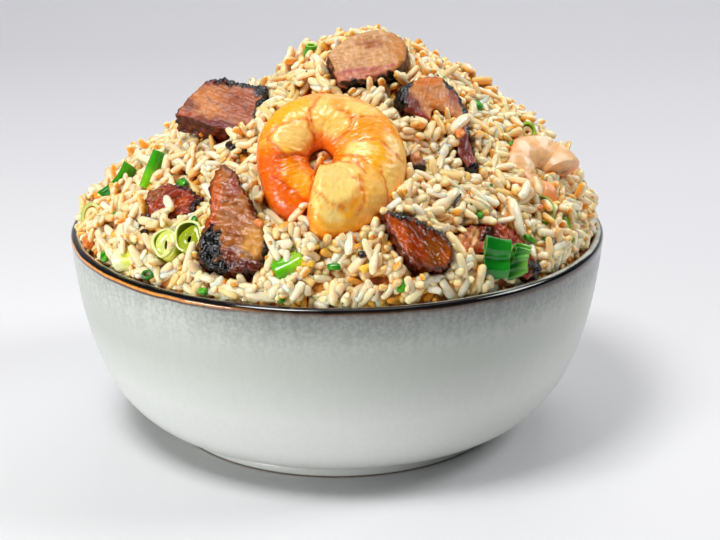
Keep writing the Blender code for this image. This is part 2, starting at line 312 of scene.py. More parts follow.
def seat(spot, facing, turn=0.0, lift=0.0, up=0.0):
    """(rotation, origin) of a topping, as in the CAD.

    Its +Z looks to facing, an azimuth and an elevation. Its +X is level before turn rolls it.
    """
    azimuth, elevation = map(math.radians, facing)
    out = Vector((math.cos(azimuth) * math.cos(elevation), math.sin(azimuth) * math.cos(elevation),
                  math.sin(elevation)))
    level = Vector((0, 0, 1)).cross(out).normalized()
    upright = Matrix((level, out.cross(level), out)).transposed()
    basis = upright @ Matrix.Rotation(math.radians(turn), 3, "Z")
    height = float(heap_height(np.array([spot[0]]), np.array([spot[1]]))[0])
    origin = np.array([spot[0], spot[1], height + up]) + lift * np.array(out)
    return np.array(basis), origin


def to_world(points, where):
    basis, origin = where
    return points @ basis.T + origin


def to_local(points, where):
    basis, origin = where
    return (points - origin) @ basis


# Bowl

RIM_RADIUS, BOWL_HEIGHT, LIP_RADIUS = 76.0, 59.0, 1.4
FOOT_RADIUS, FOOT_HEIGHT = 47.5, 3.3
WALL_AT_FOOT = 4.2


def wall_profile(inset, steps):
    """(radius, height) of the wall from foot to rim, moved inwards by inset(t)."""
    foot = np.array([FOOT_RADIUS - 0.5, FOOT_HEIGHT])
    rim = np.array([RIM_RADIUS, BOWL_HEIGHT - LIP_RADIUS])
    control = [foot, foot + (21, 3.1), rim - (2.2, 25), rim]
    t = np.linspace(0, 1, steps)[:, None]
    here = (control[0] * (1 - t) ** 3 + 3 * control[1] * t * (1 - t) ** 2
            + 3 * control[2] * t * t * (1 - t) + control[3] * t ** 3)
    along = unit(np.gradient(here, axis=0))
    inwards = np.stack([-along[:, 1], along[:, 0]], -1)
    return here + inset(t) * inwards


def wall_thickness(t):
    return WALL_AT_FOOT + (2 * LIP_RADIUS - WALL_AT_FOOT) * t


def bowl_points():
    """The section from the floor's middle over the lip to the underside's, and its way from the lip."""
    inner = wall_profile(wall_thickness, 34)
    outer = wall_profile(lambda t: 0 * t, 60)
    angles = np.radians(np.linspace(165, 15, 11))
    centre = np.array([RIM_RADIUS - LIP_RADIUS, BOWL_HEIGHT - LIP_RADIUS])
    lip = centre + LIP_RADIUS * np.stack([np.cos(angles), np.sin(angles)], -1)
    foot = [(47.2, 3.05), (47.5, 2.75), (47.5, 0.7), (47.35, 0.3), (47.0, 0.0), (43.8, 0.0), (43.45, 0.2),
            (43.3, 0.6), (42.9, 2.0), (42.2, 2.4), (20, 2.4), (0.05, 2.4)]
    floor = [(0.05, inner[0, 1]), (20, inner[0, 1])]
    section = np.vstack([floor, inner, lip, outer[::-1], foot])
    step = np.linalg.norm(np.diff(section, axis=0), axis=1)
    way = np.concatenate([[0], np.cumsum(step)])
    top = len(floor) + len(inner) + len(lip) // 2
    return section, way - way[top]


BAND_START, BAND_END = -4.0, 36.0   # the stretch of wall with bands of glaze, in mm from the lip's top


def glaze_material():
    """Celadon glaze that runs thin and dark over the lip, speckled below it, and bare at the foot."""
    made, tree, shader = new_material("celadon_glaze", Coat_Weight=0.35, Coat_Roughness=0.12)
    coords = add(tree, "TexCoord").outputs["Object"]
    place = add(tree, "SeparateXYZ", {"Vector": coords}).outputs
    way = stored(tree, "Way")
    wander = span(tree, noise(tree, coords, 60.0, 3.0), 0.3, 0.7, -0.3, 0.3)
    right = span(tree, place["X"], 15 * MM, 55 * MM, 0.3, -0.5)
    lip_way = calc(tree, "ADD", calc(tree, "ADD", way, wander), right)
    scaled = span(tree, lip_way, BAND_START, BAND_END)

    def banded(stops):
        length = BAND_END - BAND_START
        return ramp(tree, scaled, [((mm - BAND_START) / length, colour) for mm, colour in stops])

    pale, line, ink = linear(206, 210, 202), linear(208, 216, 204), linear(16, 14, 16)
    rust, haze, body = linear(84, 58, 40), linear(134, 138, 134), linear(188, 193, 185)
    low, amber, umber = linear(216, 219, 214), linear(232, 146, 50), linear(74, 44, 30)
    lip = [(-1.6, pale), (0.0, line), (0.4, ink), (1.9, ink)]
    # Under the ink lies an amber-brown glaze band: rust at the front, and on the left a brighter amber that
    # is painted light where the key falls
    front_glaze_bands = banded(lip + [(2.3, rust), (3.2, mix(rust, haze, 0.7)), (4.4, haze),
                                (12, mix(haze, body, 0.8)), (20, body), (36, low)])
    key_lit_glaze_bands = banded(lip + [(2.05, amber), (2.6, amber), (2.75, umber), (3.1, umber),
                               (3.5, mix(haze, body, 0.6)), (8, body), (20, body), (36, low)])
    # Towards the left the bands turn to their key-lit copy: painted light
    left = span(tree, place["X"], -18 * MM, -46 * MM)
    glaze = mix_colours(tree, left, front_glaze_bands, key_lit_glaze_bands)

    stretched = add(tree, "Mapping", {"Vector": coords, "Scale": (1.0, 1.0, 0.16)}).outputs["Vector"]
    speckle = calc(tree, "ADD", noise(tree, stretched, 420.0, 5.0, 0.7), noise(tree, coords, 900.0, 2.0))
    spread = span(tree, speckle, 0.85, 1.15, -0.35, 0.35)
    amount = calc(tree, "MULTIPLY", spread, span(tree, way, 16.0, 3.0, 0.04, 0.5))
    mottled = times(tree, glaze, calc(tree, "ADD", amount, 1.0))

    bare = span(tree, place["Z"], 0.75 * MM, 0.25 * MM)
    coloured = mix_colours(tree, bare, mottled, linear(96, 66, 48))
    rough = calc(tree, "MAXIMUM", span(tree, way, 2.0, 6.0, 0.08, 0.42), bare)
    finish_shader(tree, shader, coloured, rough, noise(tree, stretched, 90.0, 3.0), 0.12, 0.6 * MM)
    return made


def turned(section, angle):
    """Points of a section of (radius, height) at each angle."""
    return np.stack([section[:, None, 0] * np.cos(angle), section[:, None, 0] * np.sin(angle),
                     np.repeat(section[:, 1:], len(angle), axis=1)], -1).reshape(-1, 3)


def build_bowl():
    section, way = bowl_points()
    turns = 200
    points = turned(section, np.arange(turns) * 2 * math.pi / turns)
    faces = grid_faces(len(section), turns).tolist()
    faces.append(list(range(turns)))
    faces.append(list(range(len(points) - 1, len(points) - 1 - turns, -1)))
    bowl = make_object("glazed_bowl", points, faces, glaze_material())
    store(bowl.data, "Way", np.repeat(way, turns))
    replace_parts(bowl, "bowl")


# Painting and relief shared by the toppings

def patch_way(places, x, y, wide, high, turn):
    """How far places lie from a turned patch's middle: 1 at its edge."""
    angle = math.radians(turn)
    shifted = places[:, :2] - (x, y)
    along = shifted @ (math.cos(angle), math.sin(angle)) / wide
    across = shifted @ (-math.sin(angle), math.cos(angle)) / high
    return np.hypot(along, across)


def paint(base, places, patches, seed, wobble):
    """Lays soft patches over base colours: x, y, half width, half height, turn, colour, softness."""
    colours = base.copy()
    for index, (*shape, colour, soft) in enumerate(patches):
        away = patch_way(places, *shape) + wobble * ripple(places, 2.2, seed + index)
        colours = mix(colours, colour, smooth(1 + soft, 1 - soft, away))
    return colours


def line_share(places, route, width):
    """How strongly each place lies on a drawn line, from 0 to 1."""
    nearest = np.full(len(places), 1e9)
    for start, end in zip(route[:-1], route[1:]):
        start, step = np.array(start), np.array(end) - start
        along = np.clip((places[:, :2] - start) @ step / (step @ step), 0, 1)
        nearest = np.minimum(nearest, np.linalg.norm(places[:, :2] - start - along[:, None] * step, axis=1))
    return np.exp(-(nearest / width) ** 2)


# Shrimp

SEATS = {}                          # where each slice and shrimp lies, by its name

CREAM, PEACH = linear(252, 208, 140), linear(250, 184, 108)
ORANGE, DEEP, EMBER = linear(250, 158, 20), linear(244, 118, 2), linear(226, 74, 2)
YOLK, SEAM = linear(253, 182, 36), linear(216, 92, 6)
BUTTER, BLUSH = linear(255, 222, 164), linear(255, 208, 150)
BLOCK, OVAL = (-7.4, 4.4), (3.7, -10.4)     # middles of the large shrimp's two raised areas

# Patches of the large shrimp, as paint takes them, and its seams: (route, width, colour)
SHRIMP_PATCHES = [
    (0, 0, 6.4, 6.0, 0, DEEP, 0.5), (-8.0, 12.4, 6.8, 3.6, 18, YOLK, 0.4),
    (-10.5, -9.0, 8.0, 14, 14, DEEP, 0.3), (-6.0, -7.5, 3.0, 5.0, 30, YOLK, 0.5),
    (12.5, 5.2, 7.0, 2.8, -12, ORANGE, 0.4), (15.5, -2.0, 3.6, 4.2, 0, YOLK, 0.5),
    (2.8, 8.4, 4.9, 3.6, -34, CREAM, 0.3), (11.0, 11.4, 4.8, 1.9, -22, CREAM, 0.3),
    (0.8, 13.4, 2.4, 1.4, 0, BLUSH, 0.5), (10.6, -0.6, 4.0, 1.9, -8, BUTTER, 0.25),
    (19.4, 1.2, 3.9, 2.1, -48, BLUSH, 0.3), (21.0, -8.0, 2.4, 7.0, 4, BLUSH, 0.5),
    (17.5, -10.2, 1.9, 5.4, 10, CREAM, 0.3), (13.4, -11.5, 2.4, 5.4, 12, mix(CREAM, PEACH, 0.5), 0.4),
    (12.0, -18.5, 5.0, 3.2, 35, PEACH, 0.5), (5.0, -21.4, 7.5, 3.6, -14, YOLK, 0.4),
    (0.8, -18.0, 4.6, 2.3, -38, BUTTER, 0.3), (*OVAL, 6.5, 7.2, -10, BUTTER, 0.16),
    (4.0, -7.6, 4.6, 3.0, 0, BLUSH, 0.5), (*BLOCK, 5.7, 4.1, 14, BLUSH, 0.16),
]
SHRIMP_SEAMS = [
    ([(-13.4, 4.6), (-10.6, 7.8), (-3.1, 9.2), (-1.1, 4.1), (-2.8, 0.7), (-8.8, -0.8), (-13.4, 4.6)],
     0.4, SEAM),
    ([(4.5, 12.4), (8.9, 8.5), (15.8, 8.8)], 0.3, SEAM),
    ([(8.9, 8.5), (8.1, 5.0), (4.4, 3.1)], 0.34, SEAM),
    ([(0.1, 15.7), (-0.7, 13.0), (-2.0, 11.7), (-1.6, 8.0)], 0.4, SEAM),
    ([(8.5, 2.1), (15.7, 1.8), (21.5, -3.5)], 0.3, SEAM),
    ([(5.8, -1.3), (9.6, -2.4), (12.4, -4.7)], 0.28, SEAM), ([(9.0, -4.4), (11.6, -7.5)], 0.3, SEAM),
    ([(15.2, -6.0), (16.8, -11.9), (16.9, -16.5)], 0.3, SEAM),
    ([(9.9, -8.8), (10.3, -13.0), (10.8, -15.8), (8.7, -18.6)], 0.34, SEAM),
    ([(-2.5, -6.3), (-2.7, -10.5), (-1.3, -14.0), (1.8, -16.6), (5.6, -18.2)], 0.4, SEAM),
    ([(-2.5, -6.3), (-0.5, -3.6), (3.6, -2.6), (8.0, -4.4)], 0.36, SEAM),
    ([(-12.8, -5.4), (-8.8, -9.1), (-5.1, -13.1), (-4.2, -15.0)], 0.75, EMBER),
    ([(8.0, -9.2), (10.4, -9.8)], 0.4, SEAM),
]


def shrimp_form(size, start, sweep, rows, sides, tuck, tail, segments, widen=0.0, squat=0.0, flank=0.0):
    """Points of the curl, with its (way, roll) along and round the body.

    From start, in degrees about the hole, it curls by sweep to a tail of that half width, tucked in behind.
    widen makes its right side reach further, squat its top less far, and flank its last bend further.
    """
    way = np.linspace(0, 1, rows)[:, None]
    roll = np.linspace(0, 2 * math.pi, sides, endpoint=False)[None]
    hole, thick, thin = 2.9 * size, 9.6 * size, tail * size
    angle = np.radians(start + sweep * way)
    joint = 6 * way + 0.05 * np.cos(roll)
    swell = 0.35 * size * np.abs(np.sin(math.pi * joint)) ** 0.6
    crease = -0.3 * size * np.exp(-((joint - np.round(joint)) / 0.055) ** 2)
    girth = thick + (thin - thick) * way ** 0.8 + segments * (swell + crease)
    round_end = np.sqrt(np.clip(1 - (1 - np.clip(way / 0.05, 0, 1)) ** 2.6, 0, 1))
    round_tail = np.sqrt(np.clip(1 - (1 - np.clip((1 - way) / 0.05, 0, 1)) ** 2.2, 0, 1))
    girth = girth * np.minimum(round_end, round_tail) * 0.985
    reach = hole + thick + (thin - thick) * way ** 0.8
    rise = size * (4.2 * np.exp(-(way / 0.16) ** 2) - tuck * way ** 2)
    bulge = 1 + flank * smooth(0.80, 0.93, way) * smooth(1.05, 0.94, way)
    outward = (reach + girth * np.cos(roll)) * bulge
    x, y = outward * np.cos(angle), outward * np.sin(angle)
    x = x * (1 + widen * smooth(-5 * size, 15 * size, x) - widen * smooth(-9 * size, -20 * size, x))
    y = y * (1.05 - squat * smooth(-6 * size, 12 * size, y))
    points = np.stack([x, y, (rise + girth * np.sin(roll)) * 0.82 + 0 * outward], -1)
    ways = np.stack([way + 0 * roll, roll + 0 * way], -1)
    return points.reshape(-1, 3), ways.reshape(-1, 2)


def capped(points, faces, rows, columns):
    """Closes both open ends of a grid with one point each."""
    first, last = points[:columns].mean(0), points[-columns:].mean(0)
    points = np.vstack([points, first, last])
    faces = faces.tolist()
    start = (rows - 1) * columns
    for column in range(columns):
        after = (column + 1) % columns
        faces.append([len(points) - 2, after, column])
        faces.append([len(points) - 1, start + column, start + after])
    return points, faces


def finish_shrimp(name, node, look, where, points, sides, colours, ends, wet):
    """Closes the curl, seats it and makes it a piece. ends are the colours of its two closing points."""
    rows = len(points) // sides
    points, faces = capped(points, grid_faces(rows, sides), rows, sides)
    shrimp = make_object(name, to_world(points, where), faces, look, np.vstack([colours, *ends]),
                         np.append(wet, [0.6, 0.6]))
    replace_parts(shrimp, node)
    SEATS[name] = where


def build_shrimp_front(look):
    rows, sides = 280, 84
    where = seat((-4.2, -43.2), (-92, 38), turn=4, lift=2.6)
    points, ways = shrimp_form(1.06, -106, 366, rows, sides, tuck=0.6, tail=6.4, segments=0.3,
                               widen=0.07, squat=0.09, flank=0.10)
    roll = ways[:, 1]
    front = smooth(-0.4, 0.5, np.sin(roll))

    from_block, from_oval = points[:, :2] - BLOCK, points[:, :2] - OVAL
    block = smooth(1.12, 0.9, np.abs(from_block @ (0.97, 0.24)) / 5.9)
    block *= smooth(1.15, 0.88, np.abs(from_block @ (-0.24, 0.97)) / 4.2) * front
    oval = smooth(1.15, 0.75, np.hypot(from_oval[:, 0], from_oval[:, 1] / 1.08) / 6.8) * front
    points[:, 2] += 0.8 * block + 0.6 * oval
    points[:, 2] += (0.12 * ripple(points * (1, 2.6, 1), 1.3, 11) + 0.14 * ripple(points, 3.0, 12)) * front

    base = mix(tiled(ORANGE, points), PEACH, 0.7 * smooth(-0.1, 1.0, ripple(points, 6, 13)))
    base = mix(base, CREAM, 0.45 * smooth(0.2, 1.0, ripple(points, 3, 14)))
    colours = paint(base, points, SHRIMP_PATCHES, 21, 0.14)
    for route, width, colour in SHRIMP_SEAMS:
        on = line_share(points + 0.22 * ripple(points, 2.0, 31)[:, None], route, width) * front
        colours = mix(colours, colour, 0.8 * on)
        points[:, 2] -= 0.26 * on
    threads = smooth(0.3, 1.0, ripple(points * (1, 2.4, 1), 0.9, 44)) * front
    colours = mix(colours, linear(250, 166, 40), 0.7 * threads * smooth(-0.9, 0.5, ripple(points, 4, 45)))
    # Pale streaks over the front: painted highlights
    painted_highlight = smooth(0.5, 1.6, ripple(points * (1, 2.0, 1), 1.3, 46))
    colours = mix(colours, linear(255, 236, 200), 0.45 * painted_highlight * front)
    specks = smooth(2.05, 2.3, ripple(points, 0.7, 41) + 0.4 * ripple(points, 5, 42)) * front
    colours = mix(colours, linear(120, 60, 20), 0.8 * specks)
    colours = mix(colours, colours * (1.04, 0.88, 0.62), 0.4 * smooth(0.1, 0.9, ripple(points, 1.1, 43)))
    colours = mix(colours, ORANGE, 0.5 * smooth(0.1, -0.5, np.sin(roll))) * (0.98, 0.93, 0.52)
    low_left = smooth(-3, -8, points[:, 0]) * smooth(4, -1, points[:, 1])
    colours = mix(colours, colours * (0.90, 0.70, 0.08), low_left)
    wet = np.clip(0.72 + 0.2 * ripple(points, 1.4, 47), 0.3, 1)
    finish_shrimp("curled_shrimp", "shrimp_front", look, where, points, sides, colours, (CREAM, DEEP), wet)


def build_shrimp_right(look):
    rows, sides = 120, 44
    where = seat((54.8, -25), (-40, 42), turn=75, lift=0.3)
    points, ways = shrimp_form(0.62, -94, 300, rows, sides, tuck=2.2, tail=5.8, segments=0.6)
    way, roll = ways.T
    world = to_world(points, where)
    pale, coral = linear(238, 186, 130), linear(248, 136, 44)
    broad, fine = ripple(points, 3.5, 51), ripple(points, 1.6, 53)
    colours = mix(tiled(pale, points), linear(250, 222, 188), smooth(-0.2, 1.1, broad))
    edge = smooth(0.45, 0.95, np.cos(roll)) * smooth(-0.6, 0.5, ripple(points, 5, 52))
    colours = mix(colours, coral, 0.85 * edge)
    joint = 6 * way + 0.05 * np.cos(roll)
    ridge = np.exp(-((joint - np.round(joint)) / 0.06) ** 2)
    colours = mix(colours, coral, 0.4 * ridge * (np.cos(roll) > -0.2) * smooth(-0.6, 0.6, fine))
    low = smooth(0.5, -5, world[:, 2] - where[1][2])
    colours = mix(colours, linear(250, 146, 66), 0.95 * low)
    left = smooth(-2.5, -6.5, world[:, 0] - where[1][0]) * smooth(4, -2, world[:, 2] - where[1][2])
    colours = mix(colours, linear(250, 160, 86), 0.8 * left)
    points[:, 2] += 0.16 * broad + 0.08 * fine
    wet = np.full(len(points), 0.6)
    finish_shrimp("small_shrimp", "shrimp_right", look, where, points, sides, colours, (pale, pale), wet)


# Roast pork

SOOT, AMBER, UMBER = (10, 8, 10), (206, 112, 34), (104, 56, 30)


def remeshed(node, voxel):
    """(points, normals, faces) of a CAD node's solid in even small quads, in mm."""
    copy = link("even", frame["nodes"][node].data.copy())
    voxels = copy.modifiers.new("voxels", "REMESH")
    voxels.mode = "VOXEL"
    voxels.voxel_size = voxel * MM
    soften = copy.modifiers.new("soften", "SMOOTH")
    soften.iterations = 3
    mesh = bpy.data.meshes.new_from_object(copy.evaluated_get(bpy.context.evaluated_depsgraph_get()))
    points = np.zeros(len(mesh.vertices) * 3)
    normals = np.zeros(len(mesh.vertices) * 3)
    mesh.vertices.foreach_get("co", points)
    mesh.vertex_normals.foreach_get("vector", normals)
    faces = [list(polygon.vertices) for polygon in mesh.polygons]
    bpy.data.objects.remove(copy, do_unlink=True)
    return points.reshape(-1, 3) / MM, normals.reshape(-1, 3), faces


def edge_share(places):
    """How near each place is to its slice's outline, from 0 in the middle to 1."""
    angle = np.arctan2(places[:, 1], places[:, 0])
    away = np.hypot(places[:, 0], places[:, 1])
    bins = 48
    number = ((angle + math.pi) / (2 * math.pi) * bins).astype(int) % bins
    reach = np.zeros(bins)
    np.maximum.at(reach, number, away)
    reach = np.maximum(reach, 0.5 * (np.roll(reach, 1) + np.roll(reach, -1)))
    middle = (np.arange(bins) + 0.5) / bins * 2 * math.pi - math.pi
    return away / np.interp(angle, middle, reach, period=2 * math.pi)


def build_pork(look, name, node, where, seed, meat, rim, crust, fibre, fibre_depth, rim_from, wet, patches,
               char, lines=(), ragged=0.12, tone=(0.9, 0.8, 0.55), voxel=0.42, bend=None):
    """A slice: meat with fibres along the angle fibre, a rim, a crust down its sides, and charred patches.

    Its colours are multiplied by tone before the char goes on. bend gives moves in mm from local places.
    """
    points, normals, faces = remeshed(node, voxel)
    places = to_local(points, where)
    if bend:
        places = places + bend(places)
        points = to_world(places, where)
    facing = normals @ where[0]
    angle = math.radians(fibre)
    along = places[:, :2] @ (math.cos(angle), math.sin(angle))
    across = places[:, :2] @ (-math.sin(angle), math.cos(angle))
    strands = ripple(np.stack([along / 3.2, across / 0.75, places[:, 2] / 1.2], -1), 1, seed)
    coarse = ripple(places, 1.3, seed + 1)
    broad = ripple(places, 4, seed + 2)
    face = smooth(0.35, 0.75, facing[:, 2])
    edge = smooth(rim_from, rim_from + 0.2, edge_share(places) + 0.06 * broad)
    meat, rim, crust = (tiled(linear(*colour), points) for colour in (meat, rim, crust))

    colours = mix(meat, meat * (0.78, 0.64, 0.50), 0.6 * smooth(-0.2, 1.0, strands))
    colours = mix(colours, colours * (1.12, 1.12, 1.12), smooth(0.1, 1.0, broad))
    patches = [(*shape, linear(*colour), soft) for *shape, colour, soft in patches]
    colours = paint(colours, places, patches, seed + 50, 0.2)
    colours = mix(colours, mix(rim, crust, smooth(-0.4, 0.8, coarse)), edge)
    side = mix(crust * (1 + 0.35 * strands[:, None]), rim, smooth(0.2, 1.0, coarse))
    colours = mix(side, colours, face) * tone
    burnt = np.zeros(len(points))
    for *shape, strength in char:
        away = patch_way(places, *shape) + 0.22 * coarse
        burnt = np.maximum(burnt, strength * smooth(1.2, 0.8, away))
    colours = mix(colours, linear(*SOOT) * (1 + 0.5 * coarse[:, None]), burnt)
    for route, width, colour in lines:
        on = line_share(places + 0.3 * coarse[:, None], route, width) * face
        colours = mix(colours, linear(*colour), 0.85 * on)

    ridges = ripple(places * (2.2, 0.6, 1), 1.4, seed + 3)
    relief = fibre_depth * strands + ragged * coarse * (1 + (1 - face)) + 0.28 * burnt * ridges
    fine = 0.10 * ripple(places, 0.55, seed + 4) * (0.4 + burnt + edge)
    points = points + normals * (relief + fine - 0.12)[:, None]
    gloss = np.clip(wet + 0.25 * edge + 0.15 * burnt, 0, 1)
    piece = make_object(name, points, faces, look, np.clip(colours, 0.002, 1), gloss)
    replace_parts(piece, node)
    SEATS[name] = where


def lean_leg(places):
    """Draws the right slice's leg inwards and down."""
    leg = smooth(-1, -9, places[:, 1]) * smooth(1, 5, places[:, 0])
    return np.stack([-3.0 * leg, -4.0 * leg, 0 * leg], -1)


# The slices. On a slice's face, in mm from its middle, lie patches (as paint takes them), lines (route,
# width, colour) and char (x, y, half width, half height, turn, strength)
SLICES = [
    dict(name="roast_slice_top", node="pork_top", where=seat((7.5, -13), (-90, 48), lift=1), seed=100,
         meat=(214, 166, 126), rim=(176, 104, 84), crust=(84, 40, 28), fibre=8, fibre_depth=0.08,
         rim_from=0.88, tone=(0.84, 0.74, 0.52), wet=0.55,
         patches=[(10.5, 1.0, 3.4, 7, 0, (206, 138, 58), 0.5), (2, 3.5, 3.2, 1.4, 10, (178, 108, 56), 0.6),
                  (0, -6.9, 11, 2.0, 6, (206, 130, 112), 0.3), (-5, 1, 4, 3, 0, (226, 180, 138), 0.5)],
         lines=[([(-8.5, -6.2), (-1.2, -5.0), (8, -3.6)], 0.45, (168, 66, 62)),
                ([(-4, 7.4), (3, 9.2), (9, 8), (12.4, 4.5)], 0.5, (170, 74, 60))],
         char=[(-1, -10.6, 12, 2.8, 8, 1.0), (8, -7.0, 5.0, 2.0, 20, 1.0), (-4.6, 7.2, 2.2, 0.8, 40, 0.9)]),
    dict(name="roast_slice_left", node="pork_left",
         where=seat((-31.3, -10.4), (-100, 50), turn=-3, lift=2.2, up=2.4), seed=200, meat=(200, 146, 104),
         rim=(140, 62, 36), crust=(92, 32, 20), fibre=-24, fibre_depth=0.14, ragged=0.08, rim_from=0.86,
         tone=(0.66, 0.35, 0.08), wet=0.55,
         patches=[(-4, -0.5, 5.4, 4.2, 12, (232, 182, 134), 0.5),
                  (6.5, 0.5, 5.4, 6.2, 0, (184, 116, 88), 0.5),
                  (-3.2, 7.4, 3.8, 1.5, 20, (206, 92, 66), 0.3), (-9.6, -5.2, 3.6, 1.6, -6, AMBER, 0.5),
                  (-8.5, -1.5, 2.2, 2.6, 40, (150, 92, 60), 0.5),
                  (2, -7.8, 9, 2.0, -8, (132, 44, 20), 0.45)],
         lines=[([(-6.4, 5.6), (-2.6, 5.8), (0.4, 6.8)], 0.4, (96, 34, 26)),
                ([(-4, 1), (1, -1.5), (4, -5)], 0.25, UMBER), ([(2, 3), (6, 1), (9, -3)], 0.25, UMBER)],
         char=[(2.5, 7.0, 11, 1.5, -4, 1.0), (11, 5.6, 3.0, 3.0, 0, 1.0), (11.4, 0.4, 1.3, 6.4, -6, 1.0),
               (-12.0, -4.4, 1.7, 1.2, 50, 0.9), (-9.8, 2.6, 4.6, 0.8, 58, 1.0),
               (6, -9.2, 3.8, 1.3, 14, 0.9)]),
    dict(name="roast_slice_right", node="pork_right", where=seat((26.6, -25.2), (-74, 46), lift=2),
         seed=300, meat=(214, 160, 118), rim=(140, 60, 50), crust=(64, 24, 26), fibre=70, fibre_depth=0.12,
         ragged=0.08, rim_from=0.9, tone=(0.86, 0.66, 0.4), wet=0.8, bend=lean_leg,
         patches=[(-1, 8.6, 5, 1.6, 4, (226, 136, 50), 0.6), (-7.4, 0.5, 2.4, 4.6, 20, (122, 56, 52), 0.4),
                  (5.6, 4.0, 2.2, 4.4, -10, (158, 86, 80), 0.5), (5, -12, 2.6, 8, -6, (150, 72, 84), 0.4),
                  (-5.6, -3.4, 1.8, 2.6, 20, (150, 60, 56), 0.4)],
         lines=[([(-4.0, 5.5), (-1.4, 1.6), (1.8, 1.4)], 0.5, AMBER),
                ([(-1.4, 1.6), (-1.6, -2.6)], 0.6, AMBER)],
         char=[(-11.0, 2.4, 2.2, 4.4, -20, 1.0), (-8.2, 7.2, 3.6, 1.6, 40, 1.0),
               (-9.4, -2.4, 1.3, 4.4, 40, 1.0), (-4.6, -5.0, 2.4, 1.0, -30, 1.0),
               (5.4, 6.0, 1.7, 5.0, 26, 1.0), (7.4, -1.0, 1.3, 5.0, 14, 1.0), (7.4, -12, 1.5, 9.0, 4, 1.0),
               (6, -19.6, 3.0, 1.6, 0, 1.0)]),
    dict(name="roast_slice_front", node="pork_front_left", where=seat((-25.6, -54.5), (-102, 36), lift=1.5),
         seed=400, meat=(200, 140, 98), rim=(112, 48, 30), crust=(96, 36, 26), fibre=-16, fibre_depth=0.18,
         ragged=0.16, rim_from=0.8, tone=(0.7, 0.53, 0.18), wet=0.85, voxel=0.4,
         patches=[(-6.2, 5.6, 2.2, 7.2, 6, (222, 112, 34), 0.5), (-1, 9, 2.6, 4.6, -10, (170, 84, 66), 0.5),
                  (2.0, 0.6, 4.4, 3.2, -20, (196, 130, 98), 0.5),
                  (5.2, -6.6, 3.6, 4.6, 24, (236, 184, 128), 0.4),
                  (0.6, -5.0, 2.4, 4.0, 20, (190, 120, 80), 0.5),
                  (0.4, -10.5, 2.6, 2.6, 0, (134, 60, 24), 0.4),
                  (4.6, -12.8, 5, 2.2, 4, (110, 38, 18), 0.4),
                  (-6.4, -1.6, 1.6, 1.8, 0, (214, 96, 26), 0.4)],
         lines=[([(-4.0, 1.7), (1.6, -0.7)], 0.3, UMBER), ([(-2.0, -3.6), (2.4, -5.2)], 0.35, UMBER),
                ([(-3.4, 4.4), (1.2, 3.4)], 0.3, UMBER),
                ([(0.2, -8.0), (4.0, -9.4), (7.6, -11.1)], 0.4, UMBER)],
         char=[(-5.4, -8.6, 3.4, 6.4, 10, 1.0), (-3.0, -13.4, 3.4, 2.4, 0, 1.0),
               (9.6, -9.4, 1.1, 5.6, 0, 0.95), (5.6, -14.8, 4.4, 1.0, 6, 0.8)]),
    dict(name="roast_shreds_left", node="pork_side", where=seat((-43.5, -40), (-120, 42), lift=0.6),
         seed=500, meat=(176, 76, 42), rim=(150, 54, 26), crust=(84, 30, 20), fibre=34, fibre_depth=0.4,
         ragged=0.3, rim_from=0.8, tone=(0.7, 0.46, 0.2), wet=0.95,
         patches=[(-6.0, 2.0, 2.8, 1.8, 20, (180, 116, 70), 0.4),
                  (3.6, 0.6, 2.0, 1.4, 30, (222, 120, 60), 0.5)],
         char=[(-7.0, -7, 3.2, 1.9, 46, 1.0), (8.0, 0.6, 1.6, 2.6, 0, 0.9), (2.0, 5.2, 4.0, 0.8, -4, 0.8),
               (-2.5, -3.8, 3.0, 0.8, 20, 0.8)]),
    dict(name="roast_piece_glazed", node="pork_glazed", where=seat((21, -62.6), (-80, 34), lift=1),
         seed=600, meat=(134, 66, 28), rim=(120, 48, 22), crust=(84, 30, 16), fibre=-50, fibre_depth=0.22,
         ragged=0.16, rim_from=0.84, tone=(0.76, 0.5, 0.1), wet=1.0,
         patches=[(-5.4, 2.6, 1.6, 5.4, 24, (206, 104, 34), 0.5),
                  (2.6, -3.0, 3.6, 3.4, 0, (150, 92, 46), 0.5),
                  (-1.6, -1.6, 1.6, 3.6, 20, (168, 72, 22), 0.5),
                  (6.0, -4.6, 1.6, 2.6, 0, (196, 112, 44), 0.5)],
         char=[(-4.4, 7.6, 5.4, 1.6, -20, 1.0), (2.4, 4.0, 5.0, 1.4, -36, 1.0),
               (7.2, 0.2, 1.2, 2.0, 20, 0.9)]),
    dict(name="roast_shreds_right", node="pork_shred",
         where=seat((41.4, -54.9), (-62, 34), turn=-5, lift=-2.2), seed=700, meat=(166, 70, 38),
         rim=(140, 50, 28), crust=(66, 24, 18), fibre=62, fibre_depth=0.36, ragged=0.24, rim_from=0.84,
         tone=(0.95, 0.86, 0.58), wet=0.9,
         patches=[(-8.4, 2.6, 2.6, 2.8, -30, (218, 136, 92), 0.5),
                  (-5.6, 3.4, 1.1, 2.4, -14, (240, 186, 142), 0.4),
                  (-9.6, 3.6, 0.8, 1.8, -30, (240, 190, 146), 0.4),
                  (2.4, 4.6, 2.4, 2.6, 30, (176, 78, 44), 0.5),
                  (8, -2.6, 1.5, 5.2, 30, (120, 54, 48), 0.4)],
         char=[(11.2, -7.0, 3.2, 2.6, -40, 1.0), (-2.0, 3.6, 2.2, 1.8, 30, 0.85),
               (6.2, -2.8, 0.9, 4.6, 34, 0.8)]),
    dict(name="roast_crumb", node="pork_bit", where=seat((20.8, -43), (-75, 50), lift=0.4), seed=800,
         meat=(168, 102, 56), rim=(112, 52, 26), crust=(56, 26, 18), fibre=80, fibre_depth=0.3, ragged=0.2,
         rim_from=0.7, wet=0.85,
         patches=[(0.4, 1.6, 1.2, 1.2, 0, (226, 166, 110), 0.4)],
         char=[(0, -2.4, 2, 1.2, 0, 0.9)]),
]


# Scallions

TUBE_ROWS = 10                      # up each side of a tube's wall


